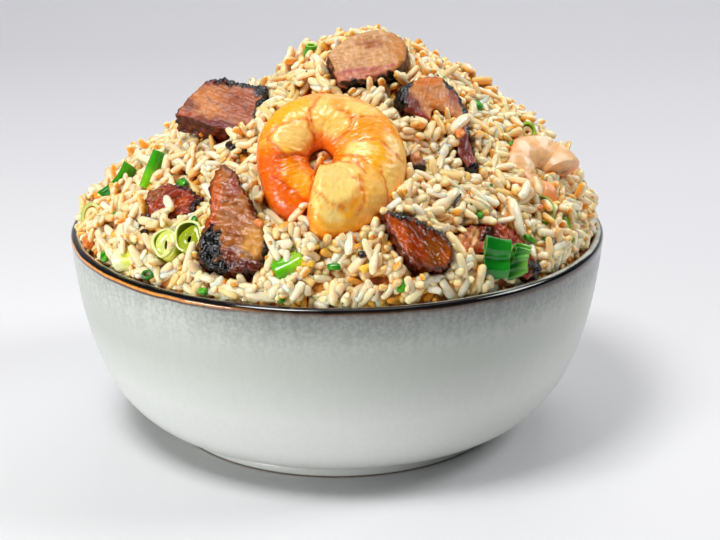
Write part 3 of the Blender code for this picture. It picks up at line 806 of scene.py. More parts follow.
def tube_points(half_width, half_depth, height, bend, wall, sides, seed, ribs=0.0, folds=0.0, wander=0.12):
    """A hollow length of leaf as a closed loop of rows: up the outside, over the cut, and down the inside.

    ribs run along it. folds pinch its flat side into two bulges, as a share of its depth.
    """
    levels = np.linspace(-1, 1, TUBE_ROWS)
    edge = 0.16 / height * 2
    cut = 1.0 - edge * 0.3
    outer = [(level * (1 - edge), 0.0) for level in levels]
    inner = [(level * (1 - edge), wall) for level in levels[::-1]]
    loop = np.array([(-cut, 0.06), *outer, (cut, 0.06), (cut, wall - 0.1), *inner, (-cut, wall - 0.1)])
    angle = np.linspace(0, 2 * math.pi, sides, endpoint=False)[None]
    along, inset = loop[:, :1], loop[:, 1:]
    rib = 1 + ribs * np.cos(angle * 9) * (inset < wall * 0.5)
    taper = 1 - 0.06 * along
    x = (half_width * rib - inset) * taper * np.cos(angle) + bend * (along ** 2 - 0.5)
    pinch = 1 - folds * np.exp(-(np.cos(angle) / 0.3) ** 2)
    y = (half_depth * rib * pinch - inset) * taper * np.sin(angle)
    z = along * height / 2 + 0 * angle
    points = np.stack([x, y, z], -1).reshape(-1, 3)
    points += wander * np.stack([ripple(points, 4, seed + axis) for axis in range(3)], -1)
    return points, (inset + 0 * angle).ravel() / wall, (along + 0 * angle).ravel()


def scallion_colours(points, depth, along, outside, inside, cut, fade, seed):
    """Streaked leaf outside, paler inside and at the cuts. It turns to fade towards its upper end."""
    streak = ripple(points * (1, 1, 0.12), 0.9, seed)
    colours = tiled(outside, points)
    if fade is not None:
        colours = mix(colours, fade, smooth(-0.8, 0.9, along + 0.3 * ripple(points, 3, seed + 1)))
    colours = mix(colours, colours * (1.35, 1.25, 1.1), 0.5 * smooth(-0.2, 1.0, streak))
    colours = mix(colours, tiled(inside, points), smooth(0.3, 0.9, depth))
    ends = smooth(0.93, 0.985, np.abs(along)) * smooth(0.01, 0.1, depth)
    return mix(colours, tiled(cut, points), ends)


def build_tube(look, name, where, tubes, colours, seed, node=None, wet=0.75, sides=48, **form):
    """A piece of one or more tubes. Tubes beyond the last set of colours share that set."""
    all_points, all_faces, all_colours = [], [], []
    for number, (x, y, half_width, half_depth, height, bend, wall) in enumerate(tubes):
        points, depth, along = tube_points(half_width, half_depth, height, bend, wall, sides,
                                           seed + 9 * number, **form)
        skins = [colour and linear(*colour) for colour in colours[min(number, len(colours) - 1)]]
        all_colours.append(scallion_colours(points, depth, along, *skins, seed + number))
        all_faces.append(grid_faces(len(points) // sides, sides, looped=True) + sum(map(len, all_points)))
        all_points.append(points + (x, y, 0))
    points = np.vstack(all_points)
    piece = make_object(name, to_world(points, where), np.vstack(all_faces), look,
                        np.vstack(all_colours), np.full(len(points), wet))
    if node:
        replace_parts(piece, node)


LEAF = (62, 140, 20)
RING_OUTER = ((190, 206, 66), (206, 214, 90), (234, 238, 160), (160, 190, 30))
# The dark insides of RING_FLESH and RING_CORE are painted shade in the rings' hollows
RING_FLESH = ((206, 216, 96), (110, 128, 8), (232, 236, 150), None)
RING_CORE = ((150, 164, 24), (36, 40, 4), (158, 172, 40), None)

# The scallions. tubes: x, y, half width, half depth, height, bend, wall
# colours, of each tube: outside, inside, cuts, and what the outside fades to at its upper end
SCALLIONS = [
    dict(name="scallion_double", node="scallion_pair",
         where=seat((-44.5, -51), (-112, 34), turn=10, lift=1.8), wet=0.95, seed=900, wander=0.36,
         tubes=[(0.6, 0.6, 3.7, 4.1, 4.2, 0, 0.8), (1.3, -0.3, 3.0, 3.8, 4.1, 0, 2.65),
                (6.9, 1.8, 4.3, 4.6, 4.6, 0, 0.8), (7.8, 0.8, 3.5, 3.8, 4.3, 0, 3.0)],
         colours=[RING_OUTER, RING_FLESH, RING_OUTER, RING_CORE]),
    dict(name="scallion_chunk_pale", node="scallion_stem", where=seat((-57, -43.5), (-25, 14), lift=1.6),
         seed=910,
         tubes=[(0, 0, 3.2, 3.0, 6.4, 0, 1.0), (0.1, 0, 2.0, 1.8, 6.3, 0, 1.5)],
         colours=[((240, 240, 190), (220, 228, 140), (214, 228, 80), (206, 222, 60))]),
    dict(name="scallion_sliver_pale", where=seat((-53.5, -47.5), (-70, 20), turn=40, lift=1.2), seed=915,
         sides=24,
         tubes=[(0, 0, 1.2, 0.8, 5.6, 0.4, 0.4)],
         colours=[((206, 218, 70), (220, 228, 140), (240, 244, 180), (160, 200, 40))]),
    dict(name="scallion_leaf_left", node="scallion_leaf",
         where=seat((-62, -6), (28, 46), turn=70, lift=0.7), wet=0.9, seed=920, ribs=0.05,
         tubes=[(0, 0, 2.4, 1.3, 12, 1.2, 0.5)],
         colours=[((38, 122, 24), (110, 160, 40), (150, 190, 70), LEAF)]),
    dict(name="scallion_fold_left", node="scallion_fold",
         where=seat((-51, -20), (40, 62), turn=-70, lift=2.4), wet=0.9, seed=930,
         tubes=[(0, 0, 3.6, 2.1, 11, 0, 0.7)],
         colours=[((110, 184, 24), (200, 214, 90), (214, 226, 120), (50, 150, 24))]),
    dict(name="scallion_ring_far", node="scallion_far_ring", where=seat((-68.5, -13), (-105, 32), lift=1),
         seed=940,
         tubes=[(0, 0, 3.0, 3.7, 2.6, 0, 1.1), (0, 0, 1.9, 2.6, 1.8, 0, 1.7)],
         colours=[((140, 170, 50), (236, 214, 130), (212, 222, 130), None),
                  ((244, 206, 140), (244, 206, 140), (248, 216, 160), None)]),
    dict(name="scallion_chunk_front", node="scallion_front", where=seat((-12.5, -67), (10, 24), turn=20),
         wet=0.95, seed=950,
         tubes=[(0, 0, 2.7, 2.2, 8, 0, 0.8), (1.0, 1.0, 1.6, 1.3, 6.6, 0.6, 0.5)],
         colours=[((90, 178, 12), (150, 200, 50), (170, 214, 60), (150, 206, 40))]),
    dict(name="scallion_chunk_dark", node="scallion_dark",
         where=seat((41.2, -60), (5, -6), turn=86, up=7.0), wet=1.0, seed=960, folds=0.78,
         tubes=[(0, 0.3, 5.5, 2.5, 6.8, 0.4, 0.5)],
         colours=[((8, 100, 22), (80, 150, 50), (120, 180, 70), (26, 134, 28))]),
    dict(name="scallion_bit_dark", node="scallion_dark_small",
         where=seat((47.4, -57.6), (12, -6), turn=80, up=9.0), wet=1.0, seed=970, ribs=0.2, wander=0.7,
         tubes=[(0, 0, 3.6, 1.6, 4.4, 0, 0.5)],
         colours=[((10, 112, 22), (80, 160, 60), (150, 190, 90), (120, 190, 70))]),
    dict(name="scallion_tube_right", node="scallion_right_ring", where=seat((50.5, -11), (-42, 20), lift=1),
         seed=980,
         tubes=[(0, 0, 3.7, 3.0, 5, 0, 0.8), (0.4, 0, 2.2, 1.7, 4, 0, 1.2)],
         colours=[((84, 160, 16), (150, 190, 60), (168, 206, 60), (70, 156, 20)),
                  ((244, 206, 130), (240, 190, 120), (248, 216, 150), None)]),
    dict(name="scallion_stick_top", node="scallion_top", where=seat((-7.5, 3), (-80, 66), lift=2), seed=990,
         sides=32,
         tubes=[(0, 0, 1.8, 1.1, 6.2, 0, 0.5)],
         colours=[((92, 180, 30), (150, 200, 60), (160, 210, 70), (60, 150, 30))]),
    dict(name="scallion_stick_right", node="scallion_stick", where=seat((62, -33.5), (118, 58), lift=0.4),
         seed=1000, sides=32,
         tubes=[(0, 0, 1.9, 1.2, 7.2, 0, 0.5)],
         colours=[((130, 160, 16), (160, 180, 60), (170, 190, 70), (110, 150, 20))]),
    dict(name="scallion_ring_thin", node="scallion_thin_ring", where=seat((54, -37.5), (-78, 38), lift=1),
         seed=1010,
         tubes=[(0, 0, 4.2, 4.0, 2.4, 0, 0.5)],
         colours=[((110, 176, 24), (200, 220, 130), (190, 210, 110), None)]),
    dict(name="scallion_ring_tiny", where=seat((-49.3, -53.2), (-110, 35), lift=1.4), seed=1020, sides=24,
         tubes=[(0, 0, 1.6, 1.3, 1.8, 0, 0.6)],
         colours=[((30, 110, 20), (60, 120, 30), (90, 150, 40), None)]),
]


# Rice

BED_DEPTH, BED_RIM_RISE = 2.9, 1.3  # how far the core lies under the heap's surface, and less so at the rim
BED_RADIUS = EDGE_RADIUS - 0.8


def build_core(look):
    """The smaller body under the loose grains: the bowl's filling below, and grain relief on top."""
    sides, steps = 200, 72
    angle = np.linspace(0, 2 * math.pi, sides, endpoint=False)
    inside = wall_profile(lambda t: wall_thickness(t) + 0.4, 12)
    inside[-1] = (RIM_RADIUS - 2 * LIP_RADIUS - 0.5, EDGE_HEIGHT - 4.5)
    share = np.linspace(1, 0.004, steps)[:, None]
    x = PEAK_X * (1 - share ** 2) + share * BED_RADIUS * np.cos(angle)
    y = share * BED_RADIUS * np.sin(angle)
    top = np.stack([x, y, heap_height(x, y)], -1).reshape(-1, 3)
    out = heap_normal(top[:, 0], top[:, 1])
    rough = ripple(top, (2.4, 2.4, 2.4), 61) * 0.9 + ripple(top, (6, 6, 6), 62) * 0.8
    near_rim = smooth(0.88, 0.98, np.repeat(share, sides))
    top = top + out * (rough - BED_DEPTH + BED_RIM_RISE * near_rim)[:, None]
    limit = RIM_RADIUS - 2 * LIP_RADIUS - 0.4
    away = np.hypot(top[:, 0], top[:, 1])
    top[:, :2] *= (np.minimum(away, limit) / np.maximum(away, 1e-6))[:, None]
    points = np.vstack([turned(inside, angle), top])
    rows = len(points) // sides
    points, faces = capped(points, grid_faces(rows, sides), rows, sides)
    shade = ripple(points, 3.0, 63)
    # The core's dark amber-brown is painted shade, seen in the gaps between the grains
    brown = tiled(linear(140, 66, 2), points)
    colours = mix(brown, linear(210, 130, 30), smooth(-0.5, 0.8, shade))
    core = make_object("rice_core", points, faces, look, colours, np.full(len(points), 0.3))
    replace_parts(core, "rice")


class Field:
    """Distances to a topping's surface on a grid round it, for keeping grains out of it."""

    def __init__(self, obj, step=1.2, margin=4.0):
        self.tree = tree = BVHTree.FromObject(obj, bpy.context.evaluated_depsgraph_get())
        self.faces = []
        if obj.name in SEATS:
            ahead = SEATS[obj.name][0][:, 2]
            self.faces = [ahead, unit(ahead * (1, 1, 0.5))]
        corners = np.array([vertex.co for vertex in obj.data.vertices]) / MM
        self.low, self.step = corners.min(0) - margin, step
        self.count = np.ceil((corners.max(0) + margin - self.low) / step).astype(int) + 1
        axes = [self.low[axis] + step * np.arange(self.count[axis]) for axis in range(3)]
        grid = np.stack(np.meshgrid(*axes, indexing="ij"), -1).reshape(-1, 3)
        distances = np.empty(len(grid))
        for index, point in enumerate((grid * MM).tolist()):
            near, normal, _, away = tree.find_nearest(point)
            inside = (Vector(point) - near).dot(normal) < 0
            distances[index] = (-away if inside else away) / MM
        self.distance = distances.reshape(self.count)
        self.slope = np.stack(np.gradient(self.distance, step), -1)

    def shades(self, points, ahead, reach):
        """Which points have the topping's face within reach behind them, seen against the way it looks."""
        hit = np.zeros(len(points), bool)
        high = self.low + self.step * self.count
        near = np.all((points > self.low - reach) & (points < high + reach), axis=1)
        back = Vector(-ahead)
        for index in np.flatnonzero(near):
            hit[index] = self.tree.ray_cast(Vector(points[index] * MM), back, reach * MM)[0] is not None
        return hit

    def push(self, points, keep):
        """How far points move to stay keep clear of the surface."""
        moves = np.zeros_like(points)
        cell = (points - self.low) / self.step
        near = np.all((cell >= 0) & (cell < self.count - 1), axis=1)
        cell = cell[near]
        base = cell.astype(int)
        part = cell - base
        away, slope = 0, 0
        for corner in np.ndindex(2, 2, 2):
            weight = np.prod(np.where(corner, part, 1 - part), axis=1)
            index = tuple((base + corner).T)
            away = away + weight * self.distance[index]
            slope = slope + weight[:, None] * self.slope[index]
        reach = np.broadcast_to(keep, len(points))[near]
        moves[near] = unit(slope) * np.maximum(reach - away, 0)[:, None]
        return moves


CELL_SHIFT = 40                     # keeps the cells' numbers above 0
CELL_STEPS = (1, 128, 16384)        # from a cell's key to those of its neighbours along x, y and z


def near_pairs(points, reach):
    """Index pairs of points closer than reach, found through cells of that size."""
    cells = np.floor(points / reach).astype(int) + CELL_SHIFT
    keys = cells @ CELL_STEPS
    order = np.argsort(keys, kind="stable")
    ranked = keys[order]
    firsts, seconds = [], []
    for shift in [(0, 0, 0), (1, 0, 0), (-1, 1, 0), (0, 1, 0), (1, 1, 0)] + [
            (x, y, 1) for x in (-1, 0, 1) for y in (-1, 0, 1)]:
        wanted = keys + np.dot(shift, CELL_STEPS)
        low = np.searchsorted(ranked, wanted, "left")
        counts = np.searchsorted(ranked, wanted, "right") - low
        first = np.repeat(np.arange(len(points)), counts)
        inner = np.arange(counts.sum()) - np.repeat(np.cumsum(counts) - counts, counts)
        second = order[np.repeat(low, counts) + inner]
        keep = first < second if shift == (0, 0, 0) else first != second
        firsts.append(first[keep])
        seconds.append(second[keep])
    first, second = np.concatenate(firsts), np.concatenate(seconds)
    close = np.linalg.norm(points[first] - points[second], axis=1) < reach
    return first[close], second[close]


def gather(index, values, count):
    return np.stack([np.bincount(index, values[:, axis], count) for axis in range(3)], -1)


def closest_on_pair(centres, axes, halves, first, second):
    """Places along two grains' axes where they are nearest, and the gap between those."""
    apart = centres[first] - centres[second]
    one, two = axes[first], axes[second]
    cosine = np.sum(one * two, -1)
    along_one, along_two = np.sum(one * apart, -1), np.sum(two * apart, -1)
    place_one = (cosine * along_two - along_one) / np.maximum(1 - cosine ** 2, 0.02)
    place_one = np.clip(place_one, -halves[first], halves[first])
    place_two = np.clip(cosine * place_one + along_two, -halves[second], halves[second])
    place_one = np.clip(cosine * place_two - along_one, -halves[first], halves[first])
    gap = apart + place_one[:, None] * one - place_two[:, None] * two
    return place_one, place_two, gap


STICK = 0.45                        # how far apart touching grains end up, as a share of their width
PAIR_REACH = 9.5                    # grains whose middles are further apart do not touch
ROUNDS, QUICK_ROUNDS = 70, 42       # of settling
ROUNDS_PER_SEARCH = 6               # how often the pairs that may touch are looked for again
MOST_MOVE, MOST_SPIN = 1.2, 0.3     # of a grain in one round
PULL, LAST_PULL = 0.10, 0.02        # share of the way to its depth that a grain goes in one round
PROBES = (-0.85, 0.0, 0.85)         # where a grain is tested for being in a topping or the bowl
SHOVE = 0.45                        # share of the way out of those that it goes in one round
LARGEST_OVERLAP = 1.35              # of two grains that overlap by more in the end, one goes
COVER, SIGHT = 3.2, 7               # no grain lies this near over a topping, or this near before its face
WALL_REACH = RIM_RADIUS - 2 * LIP_RADIUS - 0.2     # how far out grains reach inside the bowl
LIP_REACH = RIM_RADIUS - 1.5        # and above its lip


def settle(centres, axes, halves, radii, depth, held, fields, rounds):
    """Presses the grains onto the core and pushes them out of each other, the toppings and the bowl.

    Returns which grains are to go, as they cover a topping or still lie too deep in another grain.
    """
    count = len(centres)
    free = ~held
    for turn in range(rounds):
        if turn % ROUNDS_PER_SEARCH == 0:
            first, second = near_pairs(centres, PAIR_REACH)
        place_one, place_two, gap = closest_on_pair(centres, axes, halves, first, second)
        away = np.linalg.norm(gap, axis=1)
        over = STICK * (radii[first] + radii[second]) - away
        hit = over > 0
        one, two = first[hit], second[hit]
        push = 0.5 * over[hit, None] * gap[hit] / np.maximum(away[hit, None], 1e-3)
        move = gather(one, push, count) - gather(two, push, count)
        spin = gather(one, push * place_one[hit, None], count)
        spin -= gather(two, push * place_two[hit, None], count)
        touching = np.maximum(np.bincount(np.concatenate([one, two]), minlength=count), 1)
        ease = (0.9 / touching ** 0.5)[:, None]
        move, spin = move * ease, spin * ease / (halves[:, None] ** 2)

        high, out = heap_offset(centres)
        pull = PULL if turn < rounds * 0.8 else LAST_PULL
        move -= pull * np.clip(high - depth, -1.5, 1.5)[:, None] * out

        for end in PROBES:
            tip = centres + axes * (halves * end)[:, None]
            shove = sum(field.push(tip, radii * 0.9) for field in fields)
            reach = np.hypot(tip[:, 0], tip[:, 1])
            wall = np.where(tip[:, 2] < BOWL_HEIGHT + 1.2, WALL_REACH, LIP_REACH)
            outside = np.maximum(reach + radii * 0.95 - wall, 0) / np.maximum(reach, 1)
            shove[:, :2] -= tip[:, :2] * outside[:, None]
            move += shove * SHOVE
            spin += shove * (end * halves / halves ** 2)[:, None] * 0.5
        centres[free] += np.clip(move, -MOST_MOVE, MOST_MOVE)[free]
        axes[free] = unit(axes[free] + np.clip(spin[free], -MOST_SPIN, MOST_SPIN))

    gap = closest_on_pair(centres, axes, halves, first, second)[2]
    deep = radii[first] + radii[second] - np.linalg.norm(gap, axis=1) > LARGEST_OVERLAP
    dropped = np.zeros(count, bool)
    out = heap_normal(centres[:, 0], centres[:, 1])
    for field in fields:
        on_top = field.push(centres, COVER)
        dropped |= free & (np.linalg.norm(on_top, axis=1) > 0.3) & (np.sum(unit(on_top) * out, -1) > 0.55)
        for ahead in field.faces:
            dropped |= free & field.shades(centres, ahead, SIGHT)
    for one, two in zip(first[deep], second[deep]):
        if not dropped[one] and not dropped[two]:
            dropped[one if held[two] or (not held[one] and random.random() < 0.5) else two] = True
    return dropped & free


GRAIN_SIDES, GRAIN_RINGS = 8, 6
GRAIN_UNDERSIDE_SHADE = (0.95, 0.56, 0.11)    # how much of each colour a grain keeps on its underside, which is painted shade in amber
TIPS_DARK, TIPS_LIGHT = (0.99, 0.90, 0.70), (1.05, 1.05, 1.05)  # times a grain's tint
SLOTS_ACROSS = 8                    # of the map, each with its own tint


def grain_points(centres, axes, ups, lengths, widths, thick, bends, tapers, seed):
    """Points of every grain: rings along its bent length, flattened a little, with uneven sides."""
    source = np.random.default_rng(seed)
    count = len(centres)
    along = np.array([-0.985, -0.87, -0.4, 0.4, 0.87, 0.985])
    profile = (1 - np.abs(along) ** 6) ** 0.46
    uneven = 1 + source.uniform(-0.07, 0.07, (count, GRAIN_RINGS))
    profile = profile[None] * (1 - tapers[:, None] * along[None]) * uneven
    angle = np.arange(GRAIN_SIDES) * 2 * math.pi / GRAIN_SIDES
    groove = 1 - 0.10 * np.exp(-((np.arange(GRAIN_SIDES) - 2) / 0.8) ** 2)
    side = np.cross(axes, ups)
    across = profile[:, :, None] * (widths / 2)[:, None, None] * (np.cos(angle) * groove)
    deep = profile[:, :, None] * (thick / 2)[:, None, None] * (np.sin(angle) * groove)
    sway = bends[:, None] * (0.45 - along[None] ** 2)
    wobble = source.normal(0, 0.05, (count, GRAIN_RINGS))
    reach = (along[None] * lengths[:, None] / 2)[:, :, None, None]
    ring = (centres[:, None, None] + axes[:, None, None] * reach
            + side[:, None, None] * (across + (sway + wobble)[:, :, None])[..., None]
            + ups[:, None, None] * deep[..., None])
    ends = [centres + axes * (tip * lengths / 2)[:, None] + side * (bends * -0.55)[:, None]
            for tip in (-1, 1)]
    return np.concatenate([ring.reshape(count, -1, 3), ends[0][:, None], ends[1][:, None]], axis=1)


def grain_topology():
    """Faces of one grain, and for each corner how far (round, along) it lies in its slot of the map."""
    rings, sides = GRAIN_RINGS, GRAIN_SIDES
    faces, corners = [], []
    for ring in range(rings - 1):
        here, above = ring * sides, (ring + 1) * sides
        low, high = (ring + 1) / (rings + 1), (ring + 2) / (rings + 1)
        for column in range(sides):
            after = (column + 1) % sides
            left, right = column / sides, (column + 1) / sides
            faces.append((here + column, here + after, above + after, above + column))
            corners += [(left, low), (right, low), (right, high), (left, high)]
    first, last = 1 / (rings + 1), rings / (rings + 1)
    start = (rings - 1) * sides
    for column in range(sides):
        after = (column + 1) % sides
        left, middle, right = column / sides, (column + 0.5) / sides, (column + 1) / sides
        faces.append((rings * sides, after, column))
        faces.append((rings * sides + 1, start + column, start + after))
        corners += [(middle, 0), (right, first), (left, first), (middle, 1), (left, last), (right, last)]
    return faces, np.array(corners)


def build_grains(name, look, points, tints, tips, wet):
    """One piece of many grains. Each grain takes one of the slots of the map and of the tints."""
    faces, corners = grain_topology()
    count, each = points.shape[:2]
    slot = np.arange(count) % SLOTS_ACROSS ** 2
    flat = np.concatenate([np.array(face) for face in faces])
    starts = np.concatenate([[0], np.cumsum([len(face) for face in faces])[:-1]])
    grain = np.arange(count)[:, None]
    mesh = bpy.data.meshes.new(name)
    mesh.vertices.add(count * each)
    mesh.vertices.foreach_set("co", (points.reshape(-1) * MM).astype(np.float32))
    mesh.loops.add(count * len(flat))
    mesh.loops.foreach_set("vertex_index", (grain * each + flat).ravel().astype(np.int32))
    mesh.polygons.add(count * len(faces))
    mesh.polygons.foreach_set("loop_start", (grain * len(flat) + starts).ravel().astype(np.int32))
    mesh.update(calc_edges=True)
    row, column = np.divmod(slot, SLOTS_ACROSS)
    uv = (corners[None] * 0.96 + 0.02 + np.stack([column, row], -1)[:, None]) / SLOTS_ACROSS
    mesh.uv_layers.new(name="OFBake").data.foreach_set("uv", uv.astype(np.float32).ravel())

    along = np.concatenate([np.repeat(np.linspace(0, 1, GRAIN_RINGS), GRAIN_SIDES), [0, 1]])
    end = np.abs(along * 2 - 1) ** 2
    upward = np.sin(np.arange(GRAIN_SIDES) * 2 * math.pi / GRAIN_SIDES)
    facing = np.append(np.tile(upward, GRAIN_RINGS), [0.2, 0.2])
    colours = tints[slot][:, None] + (tips - tints)[slot][:, None] * end[None, :, None]
    # Painted shade: each grain's sides and underside turn darker amber, away from the heap's outward side
    colours = mix(colours * GRAIN_UNDERSIDE_SHADE, colours, smooth(-0.8, 0.4, facing)[None])
    store(mesh, "Col", colours)
    store(mesh, "Wet", np.full(count * each, wet))
    mesh.shade_smooth()
    mesh.materials.append(look)
    grains = link(name, mesh)
    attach(grains, "root")


# Grains laid one by one where one stands out: x, y, direction in degrees, tilt, lift, length, width, kind
LAID_GRAINS = [
    (30.4, -32.5, 24, 6, 7.0, 8.2, 3.0, "pale"), (46, -46.5, 82, 8, 2.2, 10.4, 4.0, "pale"),
    (28, -51.5, 28, 4, 1.6, 10.0, 3.4, "pale"), (47, -40.5, 30, 0, 5.0, 7.0, 2.5, "pale"),
    (50.5, -36.5, 60, 0, 5.0, 5.6, 2.5, "pale"), (-43, -41.5, -30, 0, 3.6, 6.4, 2.6, "pale"),
    (-47, -45, 20, 0, 3.6, 4.2, 2.6, "cream"), (-10.3, -57.6, 60, 0, 2.2, 5.8, 2.6, "pale"),
    (-7.6, -59.6, -30, 0, 2.2, 5.2, 2.5, "pale"), (-26, -46.2, 84, 10, 3.6, 7.2, 2.7, "pale"),
    (-24.3, -48, 66, 0, 3.2, 5.6, 2.4, "pale"), (-45.2, -42.8, 40, 0, 3.2, 5.8, 2.5, "pale"),
    (-44.4, -45, -50, 0, 3.0, 5.4, 2.4, "cream"), (-49.5, -41.5, 10, 0, 3.0, 5.2, 2.4, "cream"),
]

# Share near the top and deep down, length, width, dark and light tint, how oily
# Grains deeper down lean to golden and amber: partly oil-soaked rice, partly painted shade in the gaps
# between the top grains
KINDS = {
    "pale": (0.36, 0.16, (5.4, 9.2), (2.1, 2.8), (252, 223, 178), (255, 240, 216), 0.95),
    "cream": (0.33, 0.20, (5.2, 8.8), (2.0, 2.7), (253, 214, 157), (255, 230, 188), 0.95),
    "golden": (0.09, 0.22, (4.8, 8.0), (2.0, 2.6), (251, 204, 128), (255, 220, 160), 1.0),
    "amber": (0.0, 0.40, (4.0, 7.4), (1.9, 2.5), (228, 150, 40), (244, 184, 80), 1.0),
    "broken": (0.22, 0.14, (3.0, 5.2), (2.1, 2.8), (253, 219, 170), (255, 236, 206), 0.9),
}


# Number of grains, lowest and highest depth, least share of the way out
RICE_LAYERS = [(900, -3.6, -2.2, 0), (2600, -2.0, -0.6, 0), (3000, -0.4, 1.2, 0), (430, -1.8, 0.6, 0.9)]
SCATTER_REACH, GRAIN_REACH = 74, 72.9
RIM_GRAINS = 420                    # lie along the bowl's lip, at these distances and heights
RIM_GRAIN_REACH, RIM_GRAIN_HEIGHT = (70.2, 71.9), (58.4, 60.8)
TILT = 25                           # spread of the grains' tilt in degrees
CORE_SHARE = 0.46                   # a grain's radius when it settles, as a share of its width
THICKNESS = (0.74, 1.02)            # smallest and largest, as a share of its width
BEND, TAPER = 0.30, 0.14            # spread of bends in mm for a grain 8 mm long, and largest taper
BURIED = -7.5                       # grains whose middles lie lower than this are left out
AMBER_DEPTH = -1.2                  # amber grains that come to lie higher turn golden
SPECK_DEPTH = -0.8                  # specks lie on grains that are higher than this


def scatter_grains():
    """Random places on the heap, and how far outside its surface each one is to lie."""
    centres, depths = [], []
    for number, low, high, least in RICE_LAYERS:
        found = 0
        while found < number:
            x, y = random.uniform(-SCATTER_REACH, SCATTER_REACH, (2, 4 * number))
            share, _ = heap_spread(x, y)
            out = heap_normal(x, y)
            keep = (np.hypot(x, y) < GRAIN_REACH) & (random.random(len(x)) < 0.55 / out[:, 2])
            keep &= (out[:, 2] > 0.2) & (share > least)
            x, y, out = x[keep][:number - found], y[keep][:number - found], out[keep][:number - found]
            left_dip = 1.4 * np.exp(-((x + 66) ** 2 + (y + 4) ** 2) / 200)
            depth = random.uniform(low, high, len(x)) - left_dip
            ground = np.stack([x, y, heap_height(x, y)], -1)
            centres.append(ground + out * depth[:, None])
            depths.append(depth)
            found += len(x)
    turn = random.uniform(0, 2 * math.pi, RIM_GRAINS)
    reach = random.uniform(*RIM_GRAIN_REACH, RIM_GRAINS)
    height = random.uniform(*RIM_GRAIN_HEIGHT, RIM_GRAINS)
    centres.append(np.stack([reach * np.cos(turn), reach * np.sin(turn), height], -1))
    depths.append(heap_offset(centres[-1])[0])
    return np.vstack(centres), np.concatenate(depths)


def grain_directions(centres, out):
    """Level directions that lie roughly along with their neighbours', as grains that stick together do."""
    right = unit(np.cross(out, np.array([0.1, 1.0, 0.2])))
    above = np.cross(out, right)
    turn = 2.6 * ripple(centres, 8, 73) + random.normal(0, 0.75, len(centres))
    return right * np.cos(turn)[:, None] + above * np.sin(turn)[:, None]


def mixed_kinds(depths):
    """A kind for each grain, by shares that change with how deep it lies."""
    near_top, deep_down = (np.array([kind[column] for kind in KINDS.values()]) for column in (0, 1))
    steps = np.cumsum(mix(near_top, deep_down, smooth(-0.2, -2.2, depths)), axis=1)
    return (random.random(len(depths))[:, None] * steps[:, -1:] > steps).sum(1)


def laid_grains():
    """(centres, axes, lifts, lengths, widths, kinds) of the grains laid one by one."""
    x, y, turn, tilt, lift, lengths, widths = np.array([grain[:-1] for grain in LAID_GRAINS]).T
    ground, right, above, out = heap_frame(x, y)
    turn, tilt = np.radians(turn)[:, None], np.radians(tilt)[:, None]
    flat = right * np.cos(turn) + above * np.sin(turn)
    axes = unit(flat * np.cos(tilt) + out * np.sin(tilt))
    kinds = [list(KINDS).index(grain[-1]) for grain in LAID_GRAINS]
    return ground + out * lift[:, None], axes, lift, lengths, widths, kinds


def build_rice_grains(looks, fields):
    """Scatters, lays, settles and shapes all the grains, clear of the toppings' fields, and adds specks."""
    centres, depths = scatter_grains()
    clumps = 1.7 * ripple(centres, 11, 71) + 1.0 * ripple(centres, 5, 72)
    depths = depths + clumps
    count = len(centres)
    kind = mixed_kinds(depths)
    lengths, widths = np.empty(count), np.empty(count)
    for number, (_, _, length, width, *_) in enumerate(KINDS.values()):
        here = kind == number
        lengths[here] = random.uniform(*length, here.sum())
        widths[here] = random.uniform(*width, here.sum())
    out = heap_normal(centres[:, 0], centres[:, 1])
    level = grain_directions(centres, out)
    tilt = random.normal(0, TILT, count) + 14 * (random.random(count) < 0.12) * random.normal(size=count)
    tilt = np.radians(tilt)[:, None]
    axes = unit(level * np.cos(tilt) + out * np.sin(tilt))

    scattered = (centres, axes, depths, lengths, widths, kind)
    centres, axes, depths, lengths, widths, kind = map(np.concatenate, zip(scattered, laid_grains()))
    held = np.arange(len(centres)) >= count
    count = len(centres)

    radii = widths * CORE_SHARE
    halves = np.maximum(lengths / 2 - radii, 0.4)
    rounds = ROUNDS
    dropped = settle(centres, axes, halves, radii, depths, held, fields, rounds)
    buried = (centres[:, 2] - heap_height(centres[:, 0], centres[:, 1])) < BURIED
    highest = centres[:, 2] + np.abs(axes[:, 2]) * halves + 1.1 * radii
    kept = ~(dropped | buried | (highest > cad_box[1][2] / MM))
    high, out = heap_offset(centres)
    names = list(KINDS)
    # Amber is kept only on deep grains, as painted shade in the gaps
    kind[(high > AMBER_DEPTH) & (kind == names.index("amber"))] = names.index("golden")
    ups = unit(out - np.sum(out * axes, -1)[:, None] * axes + 0.3 * random.normal(size=(count, 3)))
    ups = unit(ups - np.sum(ups * axes, -1)[:, None] * axes)
    thick = widths * random.uniform(*THICKNESS, count)
    bends = random.normal(0, BEND, count) * (lengths / 8)
    tapers = random.uniform(-TAPER, TAPER, count)
    points = grain_points(centres, axes, ups, lengths, widths, thick, bends, tapers, 81)
    for number, (name, (*_, dark, light, wet)) in enumerate(KINDS.items()):
        dark, light = linear(*dark), linear(*light)
        source = np.random.default_rng(90 + number)
        tints = dark + (light - dark) * source.random((SLOTS_ACROSS ** 2, 1))
        tips = tints * mix(np.array(TIPS_DARK), np.array(TIPS_LIGHT), source.random(len(tints)))
        build_grains(f"rice_{name}", looks["rice"], points[kept & (kind == number)], tints, tips, wet)
    shown = np.flatnonzero(kept & (depths > SPECK_DEPTH) & ~held)
    build_specks(looks, random.permutation(shown), centres, axes, ups, thick)


# Crumbs and specks among the rice

